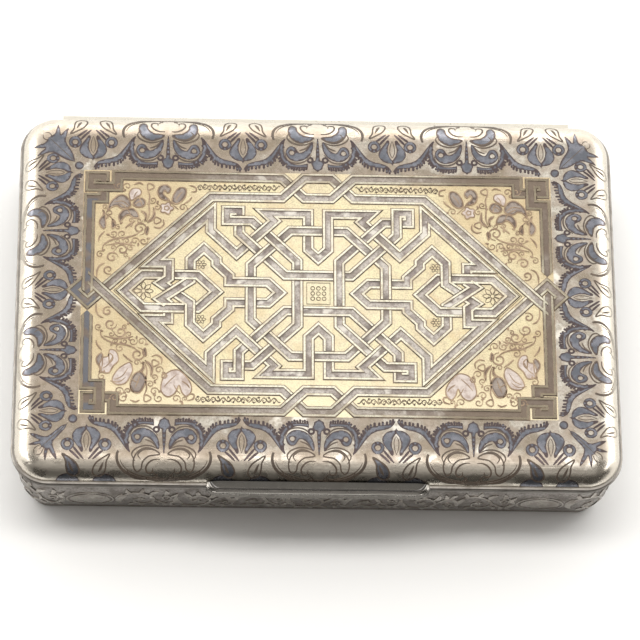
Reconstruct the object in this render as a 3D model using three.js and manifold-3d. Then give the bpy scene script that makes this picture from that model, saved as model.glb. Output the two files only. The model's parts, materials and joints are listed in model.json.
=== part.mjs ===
// A silver snuff box: a shallow base and a lid with rounded edges, joined by a knuckle hinge.
// Millimetres, +Z up. The origin is on the table, under the middle of the lid.
// The front, with the thumbpiece, faces -Y, and the hinge runs along the back.
import * as THREE from "three";
import { mergeVertices } from "three/addons/utils/BufferGeometryUtils.js";
import Module from "manifold-3d";

const wasm = await Module();
wasm.setup();

// The plan of the box, measured over the lid's rim wire
const LID_LENGTH = 90.8;
const LID_DEPTH = 60.4;
const CORNER_RADIUS = 5.6;

// The lid: one raised sheet with a rounded edge, and a wire soldered round its rim
const LID_SHEET = 0.9;
const EDGE_RUN = 4.8; // how far in from the wall the rounded edge reaches
const EDGE_DROP = 3.9; // how far down from the flat top it reaches
const RIM_WIRE_OUT = 0.5; // how far the wire stands out of the lid's wall
const RIM_WIRE_HEIGHT = 1.0;
const PARTING_GAP = 0.15; // between the closed lid and the base

// The base: a wall that draws in at its foot, standing on a plate
const BASE_HEIGHT = 14.0; // from the table to the top of the base's rim
const BASE_SHEET = 0.75;
const BASE_STEP_BACK = 0.5; // the base's wall lies this far behind the lid's wall
const BAND_OUT = 0.25; // how far the band round the base's rim stands out
const BAND_HEIGHT = 2.1;
const FOOT_DRAW_IN = 1.7;
const FOOT_HEIGHT = 8.0;
const FOOT_TURN = THREE.MathUtils.degToRad(70); // how far the wall turns under at its foot
const PLATE_THICKNESS = 0.8;
const PLATE_LIP = 0.3; // how far the plate's edge shows outside the wall's foot

// The bezel: an inner wall in the base that the lid closes over
const BEZEL_SHEET = 0.6;
const BEZEL_RISE = 1.2; // above the base's rim
const BEZEL_DEPTH = 3.0; // below the base's rim
const BEZEL_CHAMFER = 0.2;

// The hinge: knuckles on a pin, held by a leaf on the lid and a leaf on the base
const HINGE_LENGTH = 78;
const HINGE_AXIS_BACK = 0.05; // the pin lies this far behind the rim wire's back
const KNUCKLE_RADIUS = 0.9;
const KNUCKLE_COUNT = 9; // odd, so that the base holds both end knuckles
const KNUCKLE_GAP = 0.1;
const KNUCKLE_CHAMFER = 0.12;
const PIN_RADIUS = 0.45;
const PIN_CLEARANCE = 0.06;
const LEAF_CLEARANCE = 0.08; // between a leaf's hollow and the knuckles
const WALL_CLEARANCE = 0.15; // between the lid's wall and the knuckles
const LEAF_RISE = 1.5; // a leaf's height, from the pin's middle
const LEAF_BACK = 0.25; // how far a leaf reaches past the pin's middle
const LEAF_FRONT = THREE.MathUtils.degToRad(165); // the furthest round the knuckles that a leaf starts
const PLUG_THICKNESS = 0.5;
const PLUG_DOME = 0.25;

// The thumbpiece: a moulded lip on the front of the lid
const THUMB_LENGTH = 33;
const THUMB_OUT = 1.35; // out of the rim wire
const THUMB_HEIGHT = 2.1;
const THUMB_END = 2.6; // the length over which each end curves back
const THUMB_GAP = 0.03; // solder between the lip and what it sits on
const THUMB_TIP = 0.12; // how much of its section is left at each end, as a share
const THUMB_FEATHER = 0.05; // how far the top edge of its hollow stands off the lid's wall

// How finely the curves are cut
const CORNER_STEPS = 8;
const EDGE_STEPS = 8;
const ROUND_STEPS = 24;
const BEAD_STEPS = 6;
const SMALLEST_RADIUS = 0.3;

// Insets are measured inwards from the rim wire's outer line
const lidWallInset = RIM_WIRE_OUT;
const baseWallInset = lidWallInset + BASE_STEP_BACK;
const baseInnerInset = baseWallInset + BASE_SHEET;
const footInset = baseWallInset + FOOT_DRAW_IN;

// Heights
const lidBottom = BASE_HEIGHT + PARTING_GAP;
const shoulder = lidBottom + RIM_WIRE_HEIGHT; // where the lid's wall starts to round over
const lidTop = shoulder + EDGE_DROP;
const footTop = PLATE_THICKNESS + FOOT_HEIGHT;

// The hinge pin's line
const pinY = LID_DEPTH / 2 + HINGE_AXIS_BACK;
const pinZ = BASE_HEIGHT + PARTING_GAP / 2;

// Finishes
const finish = (color, roughness) => new THREE.MeshStandardMaterial({ color, roughness, metalness: 1 });
const engravedSilver = finish(0xb8aa9a, 0.35);
const polishedSilver = finish(0xd2cabb, 0.25);
const wallSilver = finish(0x9a9590, 0.4);
const hingeSilver = finish(0xb5b0a8, 0.3);
const gilding = finish(0xd9bd6a, 0.3);

// Values from 0 to 1, both ends included
function shares(steps) {
  return Array.from({ length: steps + 1 }, (_, step) => step / steps);
}

// The plan outline drawn in by an inset, anticlockwise seen from above
function planOutline(inset) {
  const radius = Math.max(CORNER_RADIUS - inset, SMALLEST_RADIUS);
  const middleX = LID_LENGTH / 2 - inset - radius;
  const middleY = LID_DEPTH / 2 - inset - radius;
  const corners = [[1, 1], [-1, 1], [-1, -1], [1, -1]];
  return corners.flatMap(([sideX, sideY], corner) =>
    shares(CORNER_STEPS).map((share) => {
      const angle = ((corner + share) * Math.PI) / 2;
      const x = sideX * middleX + radius * Math.cos(angle);
      const y = sideY * middleY + radius * Math.sin(angle);
      return new THREE.Vector2(x, y);
    }),
  );
}

// Joins rings of points, each with the same number of points, into one closed skin.
// With caps, the first and last rings are closed by flat fans, and otherwise they are joined.
function skin(rings, capped) {
  const count = rings[0].length;
  const points = rings.flat();
  const faces = [];
  const spans = capped ? rings.length - 1 : rings.length;
  for (let ring = 0; ring < spans; ring++) {
    const next = (ring + 1) % rings.length;
    for (let step = 0; step < count; step++) {
      const after = (step + 1) % count;
      const here = ring * count;
      const there = next * count;
      faces.push(here + step, here + after, there + after);
      faces.push(here + step, there + after, there + step);
    }
  }
  if (capped) {
    const last = (rings.length - 1) * count;
    const start = points.push(middleOf(rings[0])) - 1;
    const end = points.push(middleOf(rings.at(-1))) - 1;
    for (let step = 0; step < count; step++) {
      const after = (step + 1) % count;
      faces.push(start, after, step);
      faces.push(end, last + step, last + after);
    }
  }
  const geometry = new THREE.BufferGeometry().setFromPoints(points);
  geometry.setIndex(faces);
  geometry.computeVertexNormals();
  return geometry;
}

function middleOf(ring) {
  const sum = ring.reduce((total, point) => total.add(point), new THREE.Vector3());
  return sum.divideScalar(ring.length);
}

// Carries a profile of [inset, height] points round the plan. It runs up the outside of the
// piece and down its inside. A capped profile runs from the underside's middle to the top's.
function carriedRound(profile, capped = false) {
  const rings = profile.map(([inset, height]) =>
    planOutline(inset).map((point) => new THREE.Vector3(point.x, point.y, height)),
  );
  return skin(rings, capped);
}

// The rounded edge: a quarter ellipse from a wall's inset at the shoulder to the flat top
function roundedEdge(inset, run, drop) {
  return shares(EDGE_STEPS).map((share) => {
    const angle = (share * Math.PI) / 2;
    return [inset + run * (1 - Math.cos(angle)), shoulder + drop * Math.sin(angle)];
  });
}

// The base wall's foot, from the plate up: it turns under towards the plate
function footCurve(inset) {
  return shares(EDGE_STEPS).map((share) => {
    const turn = (1 - share) * FOOT_TURN;
    const drawn = (1 - Math.cos(turn)) / (1 - Math.cos(FOOT_TURN));
    const fallen = Math.sin(turn) / Math.sin(FOOT_TURN);
    return [inset + FOOT_DRAW_IN * drawn, footTop - FOOT_HEIGHT * fallen];
  });
}

// A round-fronted bead that stands out of a wall between two heights
function bead(inset, out, bottom, height) {
  return shares(BEAD_STEPS).map((share) => {
    const angle = (share - 0.5) * Math.PI;
    const bulge = Math.sqrt(Math.cos(angle));
    return [inset - out * bulge, bottom + (height * (1 + Math.sin(angle))) / 2];
  });
}

// Boolean cuts
function solidOf(geometry) {
  const plain = geometry.clone();
  plain.deleteAttribute("normal");
  plain.deleteAttribute("uv");
  const merged = mergeVertices(plain);
  return new wasm.Manifold(
    new wasm.Mesh({
      numProp: 3,
      vertProperties: merged.attributes.position.array,
      triVerts: new Uint32Array(merged.index.array),
    }),
  );
}

function cut(geometry, tool) {
  const mesh = solidOf(geometry).subtract(solidOf(tool)).getMesh();
  const result = new THREE.BufferGeometry();
  result.setAttribute("position", new THREE.BufferAttribute(mesh.vertProperties, 3));
  result.setIndex(new THREE.BufferAttribute(mesh.triVerts, 1));
  result.computeVertexNormals();
  return result;
}

// Turns a shape drawn with its height along Y to lie along the hinge, starting at x
function alongHinge(geometry, x) {
  return geometry.rotateZ(-Math.PI / 2).translate(x, pinY, pinZ);
}

function lidShell() {
  const inside = roundedEdge(lidWallInset + LID_SHEET, EDGE_RUN - LID_SHEET, EDGE_DROP - LID_SHEET);
  const outside = roundedEdge(lidWallInset, EDGE_RUN, EDGE_DROP);
  const rimInside = [lidWallInset + LID_SHEET, lidBottom];
  const rimOutside = [lidWallInset, lidBottom];
  const shell = carriedRound([...inside.reverse(), rimInside, rimOutside, ...outside], true);
  return cut(shell, hingeHollow());
}

// The hollow in the back of the lid that the knuckles turn in
function hingeHollow() {
  const radius = KNUCKLE_RADIUS + WALL_CLEARANCE;
  const length = HINGE_LENGTH + 2 * KNUCKLE_GAP;
  return alongHinge(new THREE.CylinderGeometry(radius, radius, length, ROUND_STEPS), 0);
}

// The stretch at the back where the hinge takes the place of the rim mouldings
function hingeStretch() {
  const height = 2 * (BAND_HEIGHT + RIM_WIRE_HEIGHT);
  const reach = 2 * (baseInnerInset + HINGE_AXIS_BACK);
  const block = new THREE.BoxGeometry(HINGE_LENGTH + 2 * KNUCKLE_GAP, reach, height);
  return block.translate(0, LID_DEPTH / 2, pinZ);
}

function lidRimWire() {
  const wire = bead(lidWallInset, RIM_WIRE_OUT, lidBottom, RIM_WIRE_HEIGHT);
  return cut(carriedRound(wire), hingeStretch());
}

function baseWall() {
  const outside = [...footCurve(baseWallInset), [baseWallInset, BASE_HEIGHT]];
  const inside = [...footCurve(baseInnerInset), [baseInnerInset, BASE_HEIGHT]];
  return carriedRound([...outside, ...inside.reverse()]);
}

function basePlate() {
  const lip = bead(footInset, PLATE_LIP, 0, PLATE_THICKNESS);
  return carriedRound(lip, true);
}

function baseRimBand() {
  const band = bead(baseWallInset, BAND_OUT, BASE_HEIGHT - BAND_HEIGHT, BAND_HEIGHT);
  return cut(carriedRound(band), hingeStretch());
}

function baseBezel() {
  const innerInset = baseInnerInset + BEZEL_SHEET;
  const bottom = BASE_HEIGHT - BEZEL_DEPTH;
  const top = BASE_HEIGHT + BEZEL_RISE;
  return carriedRound([
    [baseInnerInset, bottom],
    [baseInnerInset, top - BEZEL_CHAMFER],
    [baseInnerInset + BEZEL_CHAMFER, top],
    [innerInset, top],
    [innerInset, bottom],
  ]);
}

// A leaf fills the corner between a wall and the knuckles. up is 1 on the lid and -1 on the base.
function hingeLeaf(wallInset, up) {
  const hollow = KNUCKLE_RADIUS + LEAF_CLEARANCE;
  const wallY = LID_DEPTH / 2 - wallInset;
  const nearest = Math.max(wallY - pinY, hollow * Math.cos(LEAF_FRONT));
  const from = Math.acos(nearest / hollow);
  const to = Math.acos(LEAF_BACK / hollow);
  const arc = shares(EDGE_STEPS).map((share) => {
    const angle = THREE.MathUtils.lerp(from, to, share);
    return new THREE.Vector2(pinY + hollow * Math.cos(angle), pinZ + up * hollow * Math.sin(angle));
  });
  const top = pinZ + up * LEAF_RISE;
  const first = new THREE.Vector2(wallY, top);
  const second = new THREE.Vector2(wallY, arc[0].y);
  const last = new THREE.Vector2(pinY + LEAF_BACK, top);
  const section = new THREE.Shape([first, second, ...arc, last]);
  const bar = new THREE.ExtrudeGeometry(section, { depth: HINGE_LENGTH, bevelEnabled: false });
  const along = new THREE.Matrix4().makeBasis(
    new THREE.Vector3(0, 1, 0),
    new THREE.Vector3(0, 0, 1),
    new THREE.Vector3(1, 0, 0),
  );
  return bar.applyMatrix4(along).translate(-HINGE_LENGTH / 2, 0, 0);
}

const barrelLength = HINGE_LENGTH - 2 * PLUG_THICKNESS;
const knucklePitch = barrelLength / KNUCKLE_COUNT;

// One knuckle: a short tube with its ends eased
function knuckle(index) {
  const bore = PIN_RADIUS + PIN_CLEARANCE;
  const width = knucklePitch - KNUCKLE_GAP;
  const ring = [
    [bore, 0],
    [KNUCKLE_RADIUS - KNUCKLE_CHAMFER, 0],
    [KNUCKLE_RADIUS, KNUCKLE_CHAMFER],
    [KNUCKLE_RADIUS, width - KNUCKLE_CHAMFER],
    [KNUCKLE_RADIUS - KNUCKLE_CHAMFER, width],
    [bore, width],
    [bore, 0],
  ].map(([radius, height]) => new THREE.Vector2(radius, height));
  const start = -barrelLength / 2 + index * knucklePitch + KNUCKLE_GAP / 2;
  return alongHinge(new THREE.LatheGeometry(ring, ROUND_STEPS), start);
}

function hingePin() {
  return alongHinge(new THREE.CylinderGeometry(PIN_RADIUS, PIN_RADIUS, barrelLength, ROUND_STEPS), 0);
}

// A domed plug that closes the barrel at one end. side is -1 on the left and 1 on the right.
function hingePlug(side) {
  const rim = KNUCKLE_RADIUS - KNUCKLE_CHAMFER;
  const flat = PLUG_THICKNESS - PLUG_DOME;
  const dome = shares(BEAD_STEPS).map((share) => {
    const angle = (share * Math.PI) / 2;
    return new THREE.Vector2(rim * Math.cos(angle), flat + PLUG_DOME * Math.sin(angle));
  });
  dome.at(-1).x = 0;
  const outline = [new THREE.Vector2(0, 0), new THREE.Vector2(rim, 0), ...dome];
  const plug = new THREE.LatheGeometry(outline, ROUND_STEPS);
  if (side < 0) plug.rotateZ(Math.PI);
  return alongHinge(plug, (side * barrelLength) / 2);
}

// The thumbpiece's section as [out, up], out of the rim wire's face and up from the lid's rim.
// A lower lip, a groove and a ridge face the front, and a hollow for the thumb runs up to the wall.
function thumbSection(share) {
  const wireBack = THUMB_GAP;
  const wallBack = THUMB_GAP - RIM_WIRE_OUT;
  const overWire = RIM_WIRE_HEIGHT + THUMB_GAP;
  const reach = THUMB_OUT - THUMB_GAP;
  const front = [
    [0.8, 0],
    [0.97, 0.07],
    [1, 0.17],
    [0.97, 0.27],
    [0.8, 0.34],
    [0.82, 0.42],
    [0.98, 0.48],
    [0.98, 0.54],
    [0.8, 0.56],
    [0.45, 0.6],
    [0.15, 0.7],
  ];
  const lip = front.map(([out, up]) => [wireBack + reach * out * share, THUMB_HEIGHT * up]);
  const top = [wallBack + THUMB_FEATHER, THUMB_HEIGHT];
  const back = [[wallBack, THUMB_HEIGHT], [wallBack, overWire], [wireBack, overWire], [wireBack, 0]];
  return [...lip, top, ...back];
}

function thumbpiece() {
  const stations = []; // from the right end to the left end
  for (const end of [1, -1]) {
    const curve = shares(EDGE_STEPS).map((share) => {
      const angle = (share * Math.PI) / 2;
      const x = end * (THUMB_LENGTH / 2 - THUMB_END * (1 - Math.sin(angle)));
      return [x, Math.max(Math.cos(angle), THUMB_TIP)];
    });
    stations.push(...(end > 0 ? curve.reverse() : curve));
  }
  const rings = stations.map(([x, share]) =>
    thumbSection(share).map(([out, up]) => new THREE.Vector3(x, -LID_DEPTH / 2 - out, lidBottom + up)),
  );
  return skin(rings, true);
}

// The assembly
const box = new THREE.Group();
const base = new THREE.Group();
const lid = new THREE.Group();
box.add(base, lid);

function add(body, name, geometry, material) {
  const mesh = new THREE.Mesh(geometry, material);
  mesh.name = name;
  body.add(mesh);
}

add(base, "base_plate", basePlate(), wallSilver);
add(base, "base_wall", baseWall(), wallSilver);
add(base, "base_rim_band", baseRimBand(), polishedSilver);
add(base, "base_bezel", baseBezel(), gilding);
add(base, "base_hinge_leaf", hingeLeaf(baseWallInset, -1), hingeSilver);
add(base, "hinge_pin", hingePin(), hingeSilver);
add(base, "hinge_plug_left", hingePlug(-1), hingeSilver);
add(base, "hinge_plug_right", hingePlug(1), hingeSilver);

add(lid, "lid_shell", lidShell(), engravedSilver);
add(lid, "lid_rim_wire", lidRimWire(), polishedSilver);
add(lid, "lid_hinge_leaf", hingeLeaf(lidWallInset, 1), hingeSilver);
add(lid, "thumbpiece", thumbpiece(), polishedSilver);

// The base holds every other knuckle, from both ends, and the lid holds those between
for (let index = 0; index < KNUCKLE_COUNT; index++) {
  const onLid = index % 2 === 1;
  const number = Math.floor(index / 2) + 1;
  const name = (onLid ? "lid_knuckle_" : "base_knuckle_") + number;
  add(onLid ? lid : base, name, knuckle(index), hingeSilver);
}

export default box;
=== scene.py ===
# %% [markdown]
# # A silver snuff box with a niello lid
#
# The box is a shallow silver base and a hinged lid. The lid carries a gilt panel of interlaced
# straps inside a border of niello, a blue-black metal that fills engraved hollows. The frame
# holds the solid pieces at their real size. This script dresses them: it lays finer shells over
# the plain ones, draws the ornament flat in millimetres, and bends it over the lid's rounded edge.

# %% Load the fixed frame
import json
import math

import bpy
from mathutils import Matrix, Vector
from mathutils.geometry import delaunay_2d_cdt

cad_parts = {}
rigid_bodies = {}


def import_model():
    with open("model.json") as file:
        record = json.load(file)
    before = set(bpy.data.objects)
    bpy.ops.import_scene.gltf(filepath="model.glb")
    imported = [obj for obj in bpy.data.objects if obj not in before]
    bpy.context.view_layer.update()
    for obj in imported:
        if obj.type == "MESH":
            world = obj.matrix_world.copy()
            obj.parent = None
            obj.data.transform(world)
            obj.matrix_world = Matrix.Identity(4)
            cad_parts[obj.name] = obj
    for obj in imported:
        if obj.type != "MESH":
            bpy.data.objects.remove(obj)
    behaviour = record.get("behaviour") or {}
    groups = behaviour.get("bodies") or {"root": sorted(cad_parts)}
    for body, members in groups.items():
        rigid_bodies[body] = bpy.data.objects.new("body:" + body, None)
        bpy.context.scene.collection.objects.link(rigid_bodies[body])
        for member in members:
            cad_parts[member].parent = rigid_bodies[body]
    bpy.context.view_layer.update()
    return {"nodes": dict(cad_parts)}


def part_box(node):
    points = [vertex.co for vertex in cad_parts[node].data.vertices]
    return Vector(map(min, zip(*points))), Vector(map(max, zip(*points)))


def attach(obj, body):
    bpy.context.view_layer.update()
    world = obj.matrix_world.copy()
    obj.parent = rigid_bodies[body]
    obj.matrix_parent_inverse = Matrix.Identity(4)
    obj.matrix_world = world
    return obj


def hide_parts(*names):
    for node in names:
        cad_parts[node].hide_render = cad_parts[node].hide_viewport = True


MM = 0.001
scene = bpy.context.scene
scene.view_settings.view_transform = "Standard"
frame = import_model()
print("CAD nodes:", len(frame["nodes"]))

# %% [markdown]
# ## Sizes
#
# What the frame already knows is read from it. The rest are the few sizes that shape a surface
# without being any node's box, such as how far the lid's edge rounds over. Lengths are in
# millimetres here, and turn into metres only when a mesh is made.


# %% Sizes taken from the frame
def box_mm(node):
    low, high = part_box(node)
    return low / MM, high / MM


wire_low, wire_high = box_mm("lid_rim_wire")
lid_low, lid_high = box_mm("lid_shell")
wall_high = box_mm("base_wall")[1]
band_low, band_high = box_mm("base_rim_band")
bezel_low, bezel_high = box_mm("base_bezel")
thumb_low, thumb_high = box_mm("thumbpiece")
hinge_end = box_mm("lid_hinge_leaf")[1].x

PLAN_X = wire_high.x
PLAN_Y = wire_high.y
LID_TOP = lid_high.z
LID_BOTTOM = lid_low.z
SHOULDER = wire_high.z
WIRE_OUT = wire_high.x - lid_high.x
EDGE_DROP = LID_TOP - SHOULDER
WALL_INSET = PLAN_X - wall_high.x
BAND_OUT = band_high.x - wall_high.x
PLATE_TOP = box_mm("base_plate")[1].z
BASE_TOP = wall_high.z
print(f"The lid is {2 * PLAN_X:.1f} by {2 * PLAN_Y:.1f} mm, and its top is {LID_TOP:.2f} mm up")

# %% Sizes that shape the surfaces
CORNER_RADIUS = 5.6
EDGE_RUN = 4.8  # how far in from the shoulder the lid's flat top starts
LID_SHEET = 0.9
BASE_SHEET = 0.75
FOOT_TOP = 8.8  # where the base's wall starts to draw in
FOOT_DRAW_IN = 1.7
FOOT_TURN = math.radians(70)
PLATE_LIP = 0.3
BEZEL_SHEET = 0.6
BEZEL_CHAMFER = 0.2
HINGE_GAP = 0.1
SMALLEST_RADIUS = 0.3
CORNER_STEPS = 24
EDGE_STEPS = 20
BEAD_STEPS = 12

# %% [markdown]
# ## Materials
#
# Old silver is never one colour: a warm tarnish gathers in patches, handling leaves fine
# scratches, and small pits hold dirt. These effects are shared by the silver, the gilding and
# the niello, so each is a node group with its own named inputs, and every material sets the
# amounts that suit it. All of them read Object coordinates, so they stay still on each piece.


# %% Numbers in a node tree
class Number:
    """A number in a node tree. Arithmetic on it adds the node that does the same sum."""

    def __init__(self, socket):
        self.socket = socket

    def __add__(self, other):
        return maths("ADD", self, other)

    def __sub__(self, other):
        return maths("SUBTRACT", self, other)

    def __rsub__(self, other):
        return maths("SUBTRACT", other, self)

    def __mul__(self, other):
        return maths("MULTIPLY", self, other)

    def __truediv__(self, other):
        return maths("DIVIDE", self, other)

    def __rtruediv__(self, other):
        return maths("DIVIDE", other, self)


def plug(socket, value):
    """Links another socket to this one, or sets it to a plain value. A colour may have no alpha."""
    value = getattr(value, "socket", value)
    if isinstance(value, bpy.types.NodeSocket):
        socket.id_data.links.new(value, socket)
    elif socket.type == "RGBA" and len(value) == 3:
        socket.default_value = (*value, 1.0)
    else:
        socket.default_value = value


def add_node(tree, kind, settings=None, inputs=None):
    """A node with its settings, and its inputs given as plain values or as sockets to link."""
    made = tree.nodes.new(kind)
    for name, value in (settings or {}).items():
        setattr(made, name, value)
    for name, value in (inputs or {}).items():
        plug(made.inputs[name], value)
    return made


# %% Helpers for node trees
def tree_of(*values):
    """The node tree that the sockets among some values belong to."""
    sockets = [getattr(value, "socket", value) for value in values]
    return next(socket.id_data for socket in sockets if isinstance(socket, bpy.types.NodeSocket))


def maths(operation, *values):
    inputs = dict(enumerate(values))
    return Number(add_node(tree_of(*values), "ShaderNodeMath", {"operation": operation}, inputs).outputs[0])


def noise(where, scale, detail=3.0, roughness=0.55):
    settings = {"noise_dimensions": "3D"}
    inputs = {"Vector": where, "Scale": scale, "Detail": detail, "Roughness": roughness}
    return Number(add_node(tree_of(where), "ShaderNodeTexNoise", settings, inputs).outputs["Fac"])


def remap(value, low, high, out_low=0.0, out_high=1.0):
    """Value from low..high to out_low..out_high, eased and kept inside."""
    inputs = {"Value": value, "From Min": low, "From Max": high, "To Min": out_low, "To Max": out_high}
    settings = {"interpolation_type": "SMOOTHSTEP"}
    return Number(add_node(tree_of(value), "ShaderNodeMapRange", settings, inputs).outputs["Result"])


def mix_colour(share, first, second):
    inputs = {"Factor": share, 6: first, 7: second}
    return add_node(tree_of(share), "ShaderNodeMix", {"data_type": "RGBA"}, inputs).outputs[2]


def spot_on(tree):
    """Where a point lies on its own piece."""
    return add_node(tree, "ShaderNodeTexCoord").outputs["Object"]


def parts_of(vector):
    """The x, y and z of a vector."""
    split = add_node(tree_of(vector), "ShaderNodeSeparateXYZ", {}, {"Vector": vector})
    return [Number(part) for part in split.outputs]


def new_group(kind, name, inputs, outputs):
    """A node group, and its sockets for what comes in and what goes out.
    inputs: name to a number, or else to a socket's type. outputs: name to type."""
    tree = bpy.data.node_groups.new(name, kind)
    for label, value in inputs.items():
        is_number = isinstance(value, float)
        socket_type = "NodeSocket" + ("Float" if is_number else value)
        socket = tree.interface.new_socket(label, in_out="INPUT", socket_type=socket_type)
        if is_number:
            socket.default_value = value
    for label, value in outputs.items():
        tree.interface.new_socket(label, in_out="OUTPUT", socket_type="NodeSocket" + value)
    given = {}
    for socket in tree.nodes.new("NodeGroupInput").outputs:
        given[socket.name] = Number(socket) if socket.type == "VALUE" else socket
    return tree, given, tree.nodes.new("NodeGroupOutput").inputs


# %% The shared group for tarnish
tarnish, given, results = new_group(
    "ShaderNodeTree",
    "Tarnish",
    {"Patch Size": 4.0, "Amount": 0.5},
    {"Patches": "Float", "Specks": "Float"},
)
tarnish_spot = spot_on(tarnish)
patch_scale = (1.0 / MM) / given["Patch Size"]
broad_patches = remap(noise(tarnish_spot, patch_scale, 5.0, 0.62), 0.38, 0.66)
plug(results["Patches"], broad_patches * given["Amount"])
plug(results["Specks"], remap(noise(tarnish_spot, patch_scale * 7.0, 4.0, 0.7), 0.6, 0.72))
print("Node group:", tarnish.name)

# %% The shared group for handling marks
SCRATCH_WAYS = ((0.4, 40.0), (1.7, 55.0), (2.6, 32.0))  # each way's turn, and its scale along
SCRATCH_FINENESS = (2500.0, 600.0)
SCRATCH_DEPTH = -0.12
handling, given, results = new_group(
    "ShaderNodeTree", "Handling marks", {"Density": 1.0}, {"Height": "Float"}
)
handling_spot = spot_on(handling)
scratches = []
for turn, stretch in SCRATCH_WAYS:
    scale = (stretch, *SCRATCH_FINENESS)
    stretched = {"Vector": handling_spot, "Rotation": (0.0, 0.0, turn), "Scale": scale}
    turned = add_node(handling, "ShaderNodeMapping", {}, stretched).outputs["Vector"]
    scratches.append(remap(noise(turned, given["Density"], 1.0, 0.4), 0.64, 0.74))
deepest = maths("MAXIMUM", maths("MAXIMUM", scratches[0], scratches[1]), scratches[2])
dents = noise(handling_spot, 260.0, 2.0, 0.5)
plug(results["Height"], maths("MULTIPLY_ADD", deepest, SCRATCH_DEPTH, dents))
print("Node group:", handling.name)

# %% The shared group for matting
# Matting is a ground of tiny punch marks, which makes gilding look soft and deep
matted, given, results = new_group(
    "ShaderNodeTree",
    "Matting",
    {"Grain": 0.25, "Amount": 1.0},
    {"Hollows": "Float", "Height": "Float"},
)
punched = noise(spot_on(matted), (1.0 / MM) / given["Grain"], 2.0, 0.6)
hollows = remap(punched, 0.44, 0.62) * given["Amount"]
plug(results["Hollows"], hollows)
plug(results["Height"], hollows * -1.0)
print("Node group:", matted.name)

# %% A metal with tarnish, marks and relief
HOLLOW_TONE = 0.45  # how dark a punched hollow is beside the dull metal
SPECK_SHARE = 0.45
DULL_ROUGHER = 0.16


def use_group(tree, group, **inputs):
    """The outputs of a shared group, by name. An input's name is written with an underline."""
    made = add_node(tree, "ShaderNodeGroup", {"node_tree": group})
    for name, value in inputs.items():
        plug(made.inputs[name.replace("_", " ")], value)
    return {socket.name: Number(socket) for socket in made.outputs}


def new_material(name):
    material = bpy.data.materials.new(name)
    material.use_nodes = True
    return material


def set_shader(material, colour, rough, metallic=0.0, height=None, depth=MM):
    """Sets a material's own shader, with relief where a height is given."""
    tree = material.node_tree
    shader = tree.nodes["Principled BSDF"].inputs
    plug(shader["Base Color"], colour)
    plug(shader["Roughness"], rough)
    plug(shader["Metallic"], metallic)
    if height:
        bump = {"Strength": 1.0, "Distance": depth, "Height": height}
        relief = add_node(tree, "ShaderNodeBump", {}, bump)
        plug(shader["Normal"], relief.outputs["Normal"])


def new_metal(
    name, clean, dull, dirt, roughness, patch_size=4.0, amount=0.6, bump=0.05, metallic=1.0, grain=None
):
    """A metal that runs from clean to dull in patches, with specks of dirt and handling marks.
    grain is (size in mm, share of its hollows' colour, depth in mm) for a matted or worn ground."""
    material = new_material(name)
    tree = material.node_tree
    patina = use_group(tree, tarnish, Patch_Size=patch_size, Amount=amount)
    colour = mix_colour(patina["Patches"], clean, dull)
    height = use_group(tree, handling)["Height"] * bump
    if grain:
        size, share, depth = grain
        punches = use_group(tree, matted, Grain=size)
        colour = mix_colour(punches["Hollows"] * share, colour, [part * HOLLOW_TONE for part in dull])
        height = height + punches["Height"] * depth
    colour = mix_colour(patina["Specks"] * SPECK_SHARE, colour, dirt)
    rough = remap(patina["Patches"], 0.0, 1.0, roughness, roughness + DULL_ROUGHER)
    set_shader(material, colour, rough, metallic, height)
    return material


BRIGHT_SILVER = (0.61, 0.57, 0.495)
CLEAN_SILVER = (0.73, 0.685, 0.6)
TAN_SILVER = (0.36, 0.3, 0.24)
GREY_SILVER = (0.3, 0.28, 0.255)
DARK_SILVER = (0.2, 0.18, 0.16)
BROWN_DIRT = (0.12, 0.08, 0.05)
PALE_GOLD = (0.84, 0.75, 0.47)
WORN_GOLD = (0.76, 0.67, 0.46)
border_silver = new_metal(
    "border_silver", BRIGHT_SILVER, TAN_SILVER, BROWN_DIRT, 0.22, 3.2, 1.0, 0.04, grain=(0.5, 0.3, 0.006)
)
polished_silver = new_metal("polished_silver_worn", GREY_SILVER, DARK_SILVER, BROWN_DIRT, 0.3, 3.0, 0.8)
wall_tones = ((0.3, 0.28, 0.26), (0.16, 0.14, 0.125), BROWN_DIRT)
wall_silver = new_metal("wall_silver_worn", *wall_tones, 0.3, 3.0, 0.9, grain=(0.4, 0.5, 0.01))
hinge_silver = new_metal("hinge_silver_worn", CLEAN_SILVER, BRIGHT_SILVER, BROWN_DIRT, 0.24, 3.0, 0.9)
gilding = new_metal("gilding_worn", PALE_GOLD, WORN_GOLD, (0.4, 0.3, 0.17), 0.27, 6.0, 0.6, 0.03)
print("Metals:", [m.name for m in bpy.data.materials])


# %% Wear and dirt in their places
def position_part(material, axis):
    return parts_of(spot_on(material.node_tree))["XYZ".index(axis)]


def along(material, axis, start, end, first=0.0, last=1.0):
    """A mask that goes from first to last between two places on an axis, in millimetres."""
    return remap(position_part(material, axis), start * MM, end * MM, first, last)


def patches_of(material, scale, low, high, share, lean=0.0):
    """A mask of uneven patches. A lean makes them larger towards the left end."""
    value = noise(spot_on(material.node_tree), scale, 4.0)
    if lean:
        value = value + position_part(material, "X") * -lean
    return remap(value, low, high, 0.0, share)


def tinted(material, mask, tint):
    """Mixes a tint into a material's colour where the mask says."""
    colour = material.node_tree.nodes["Principled BSDF"].inputs["Base Color"]
    plug(colour, mix_colour(mask, colour.links[0].from_socket, tint))


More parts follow.
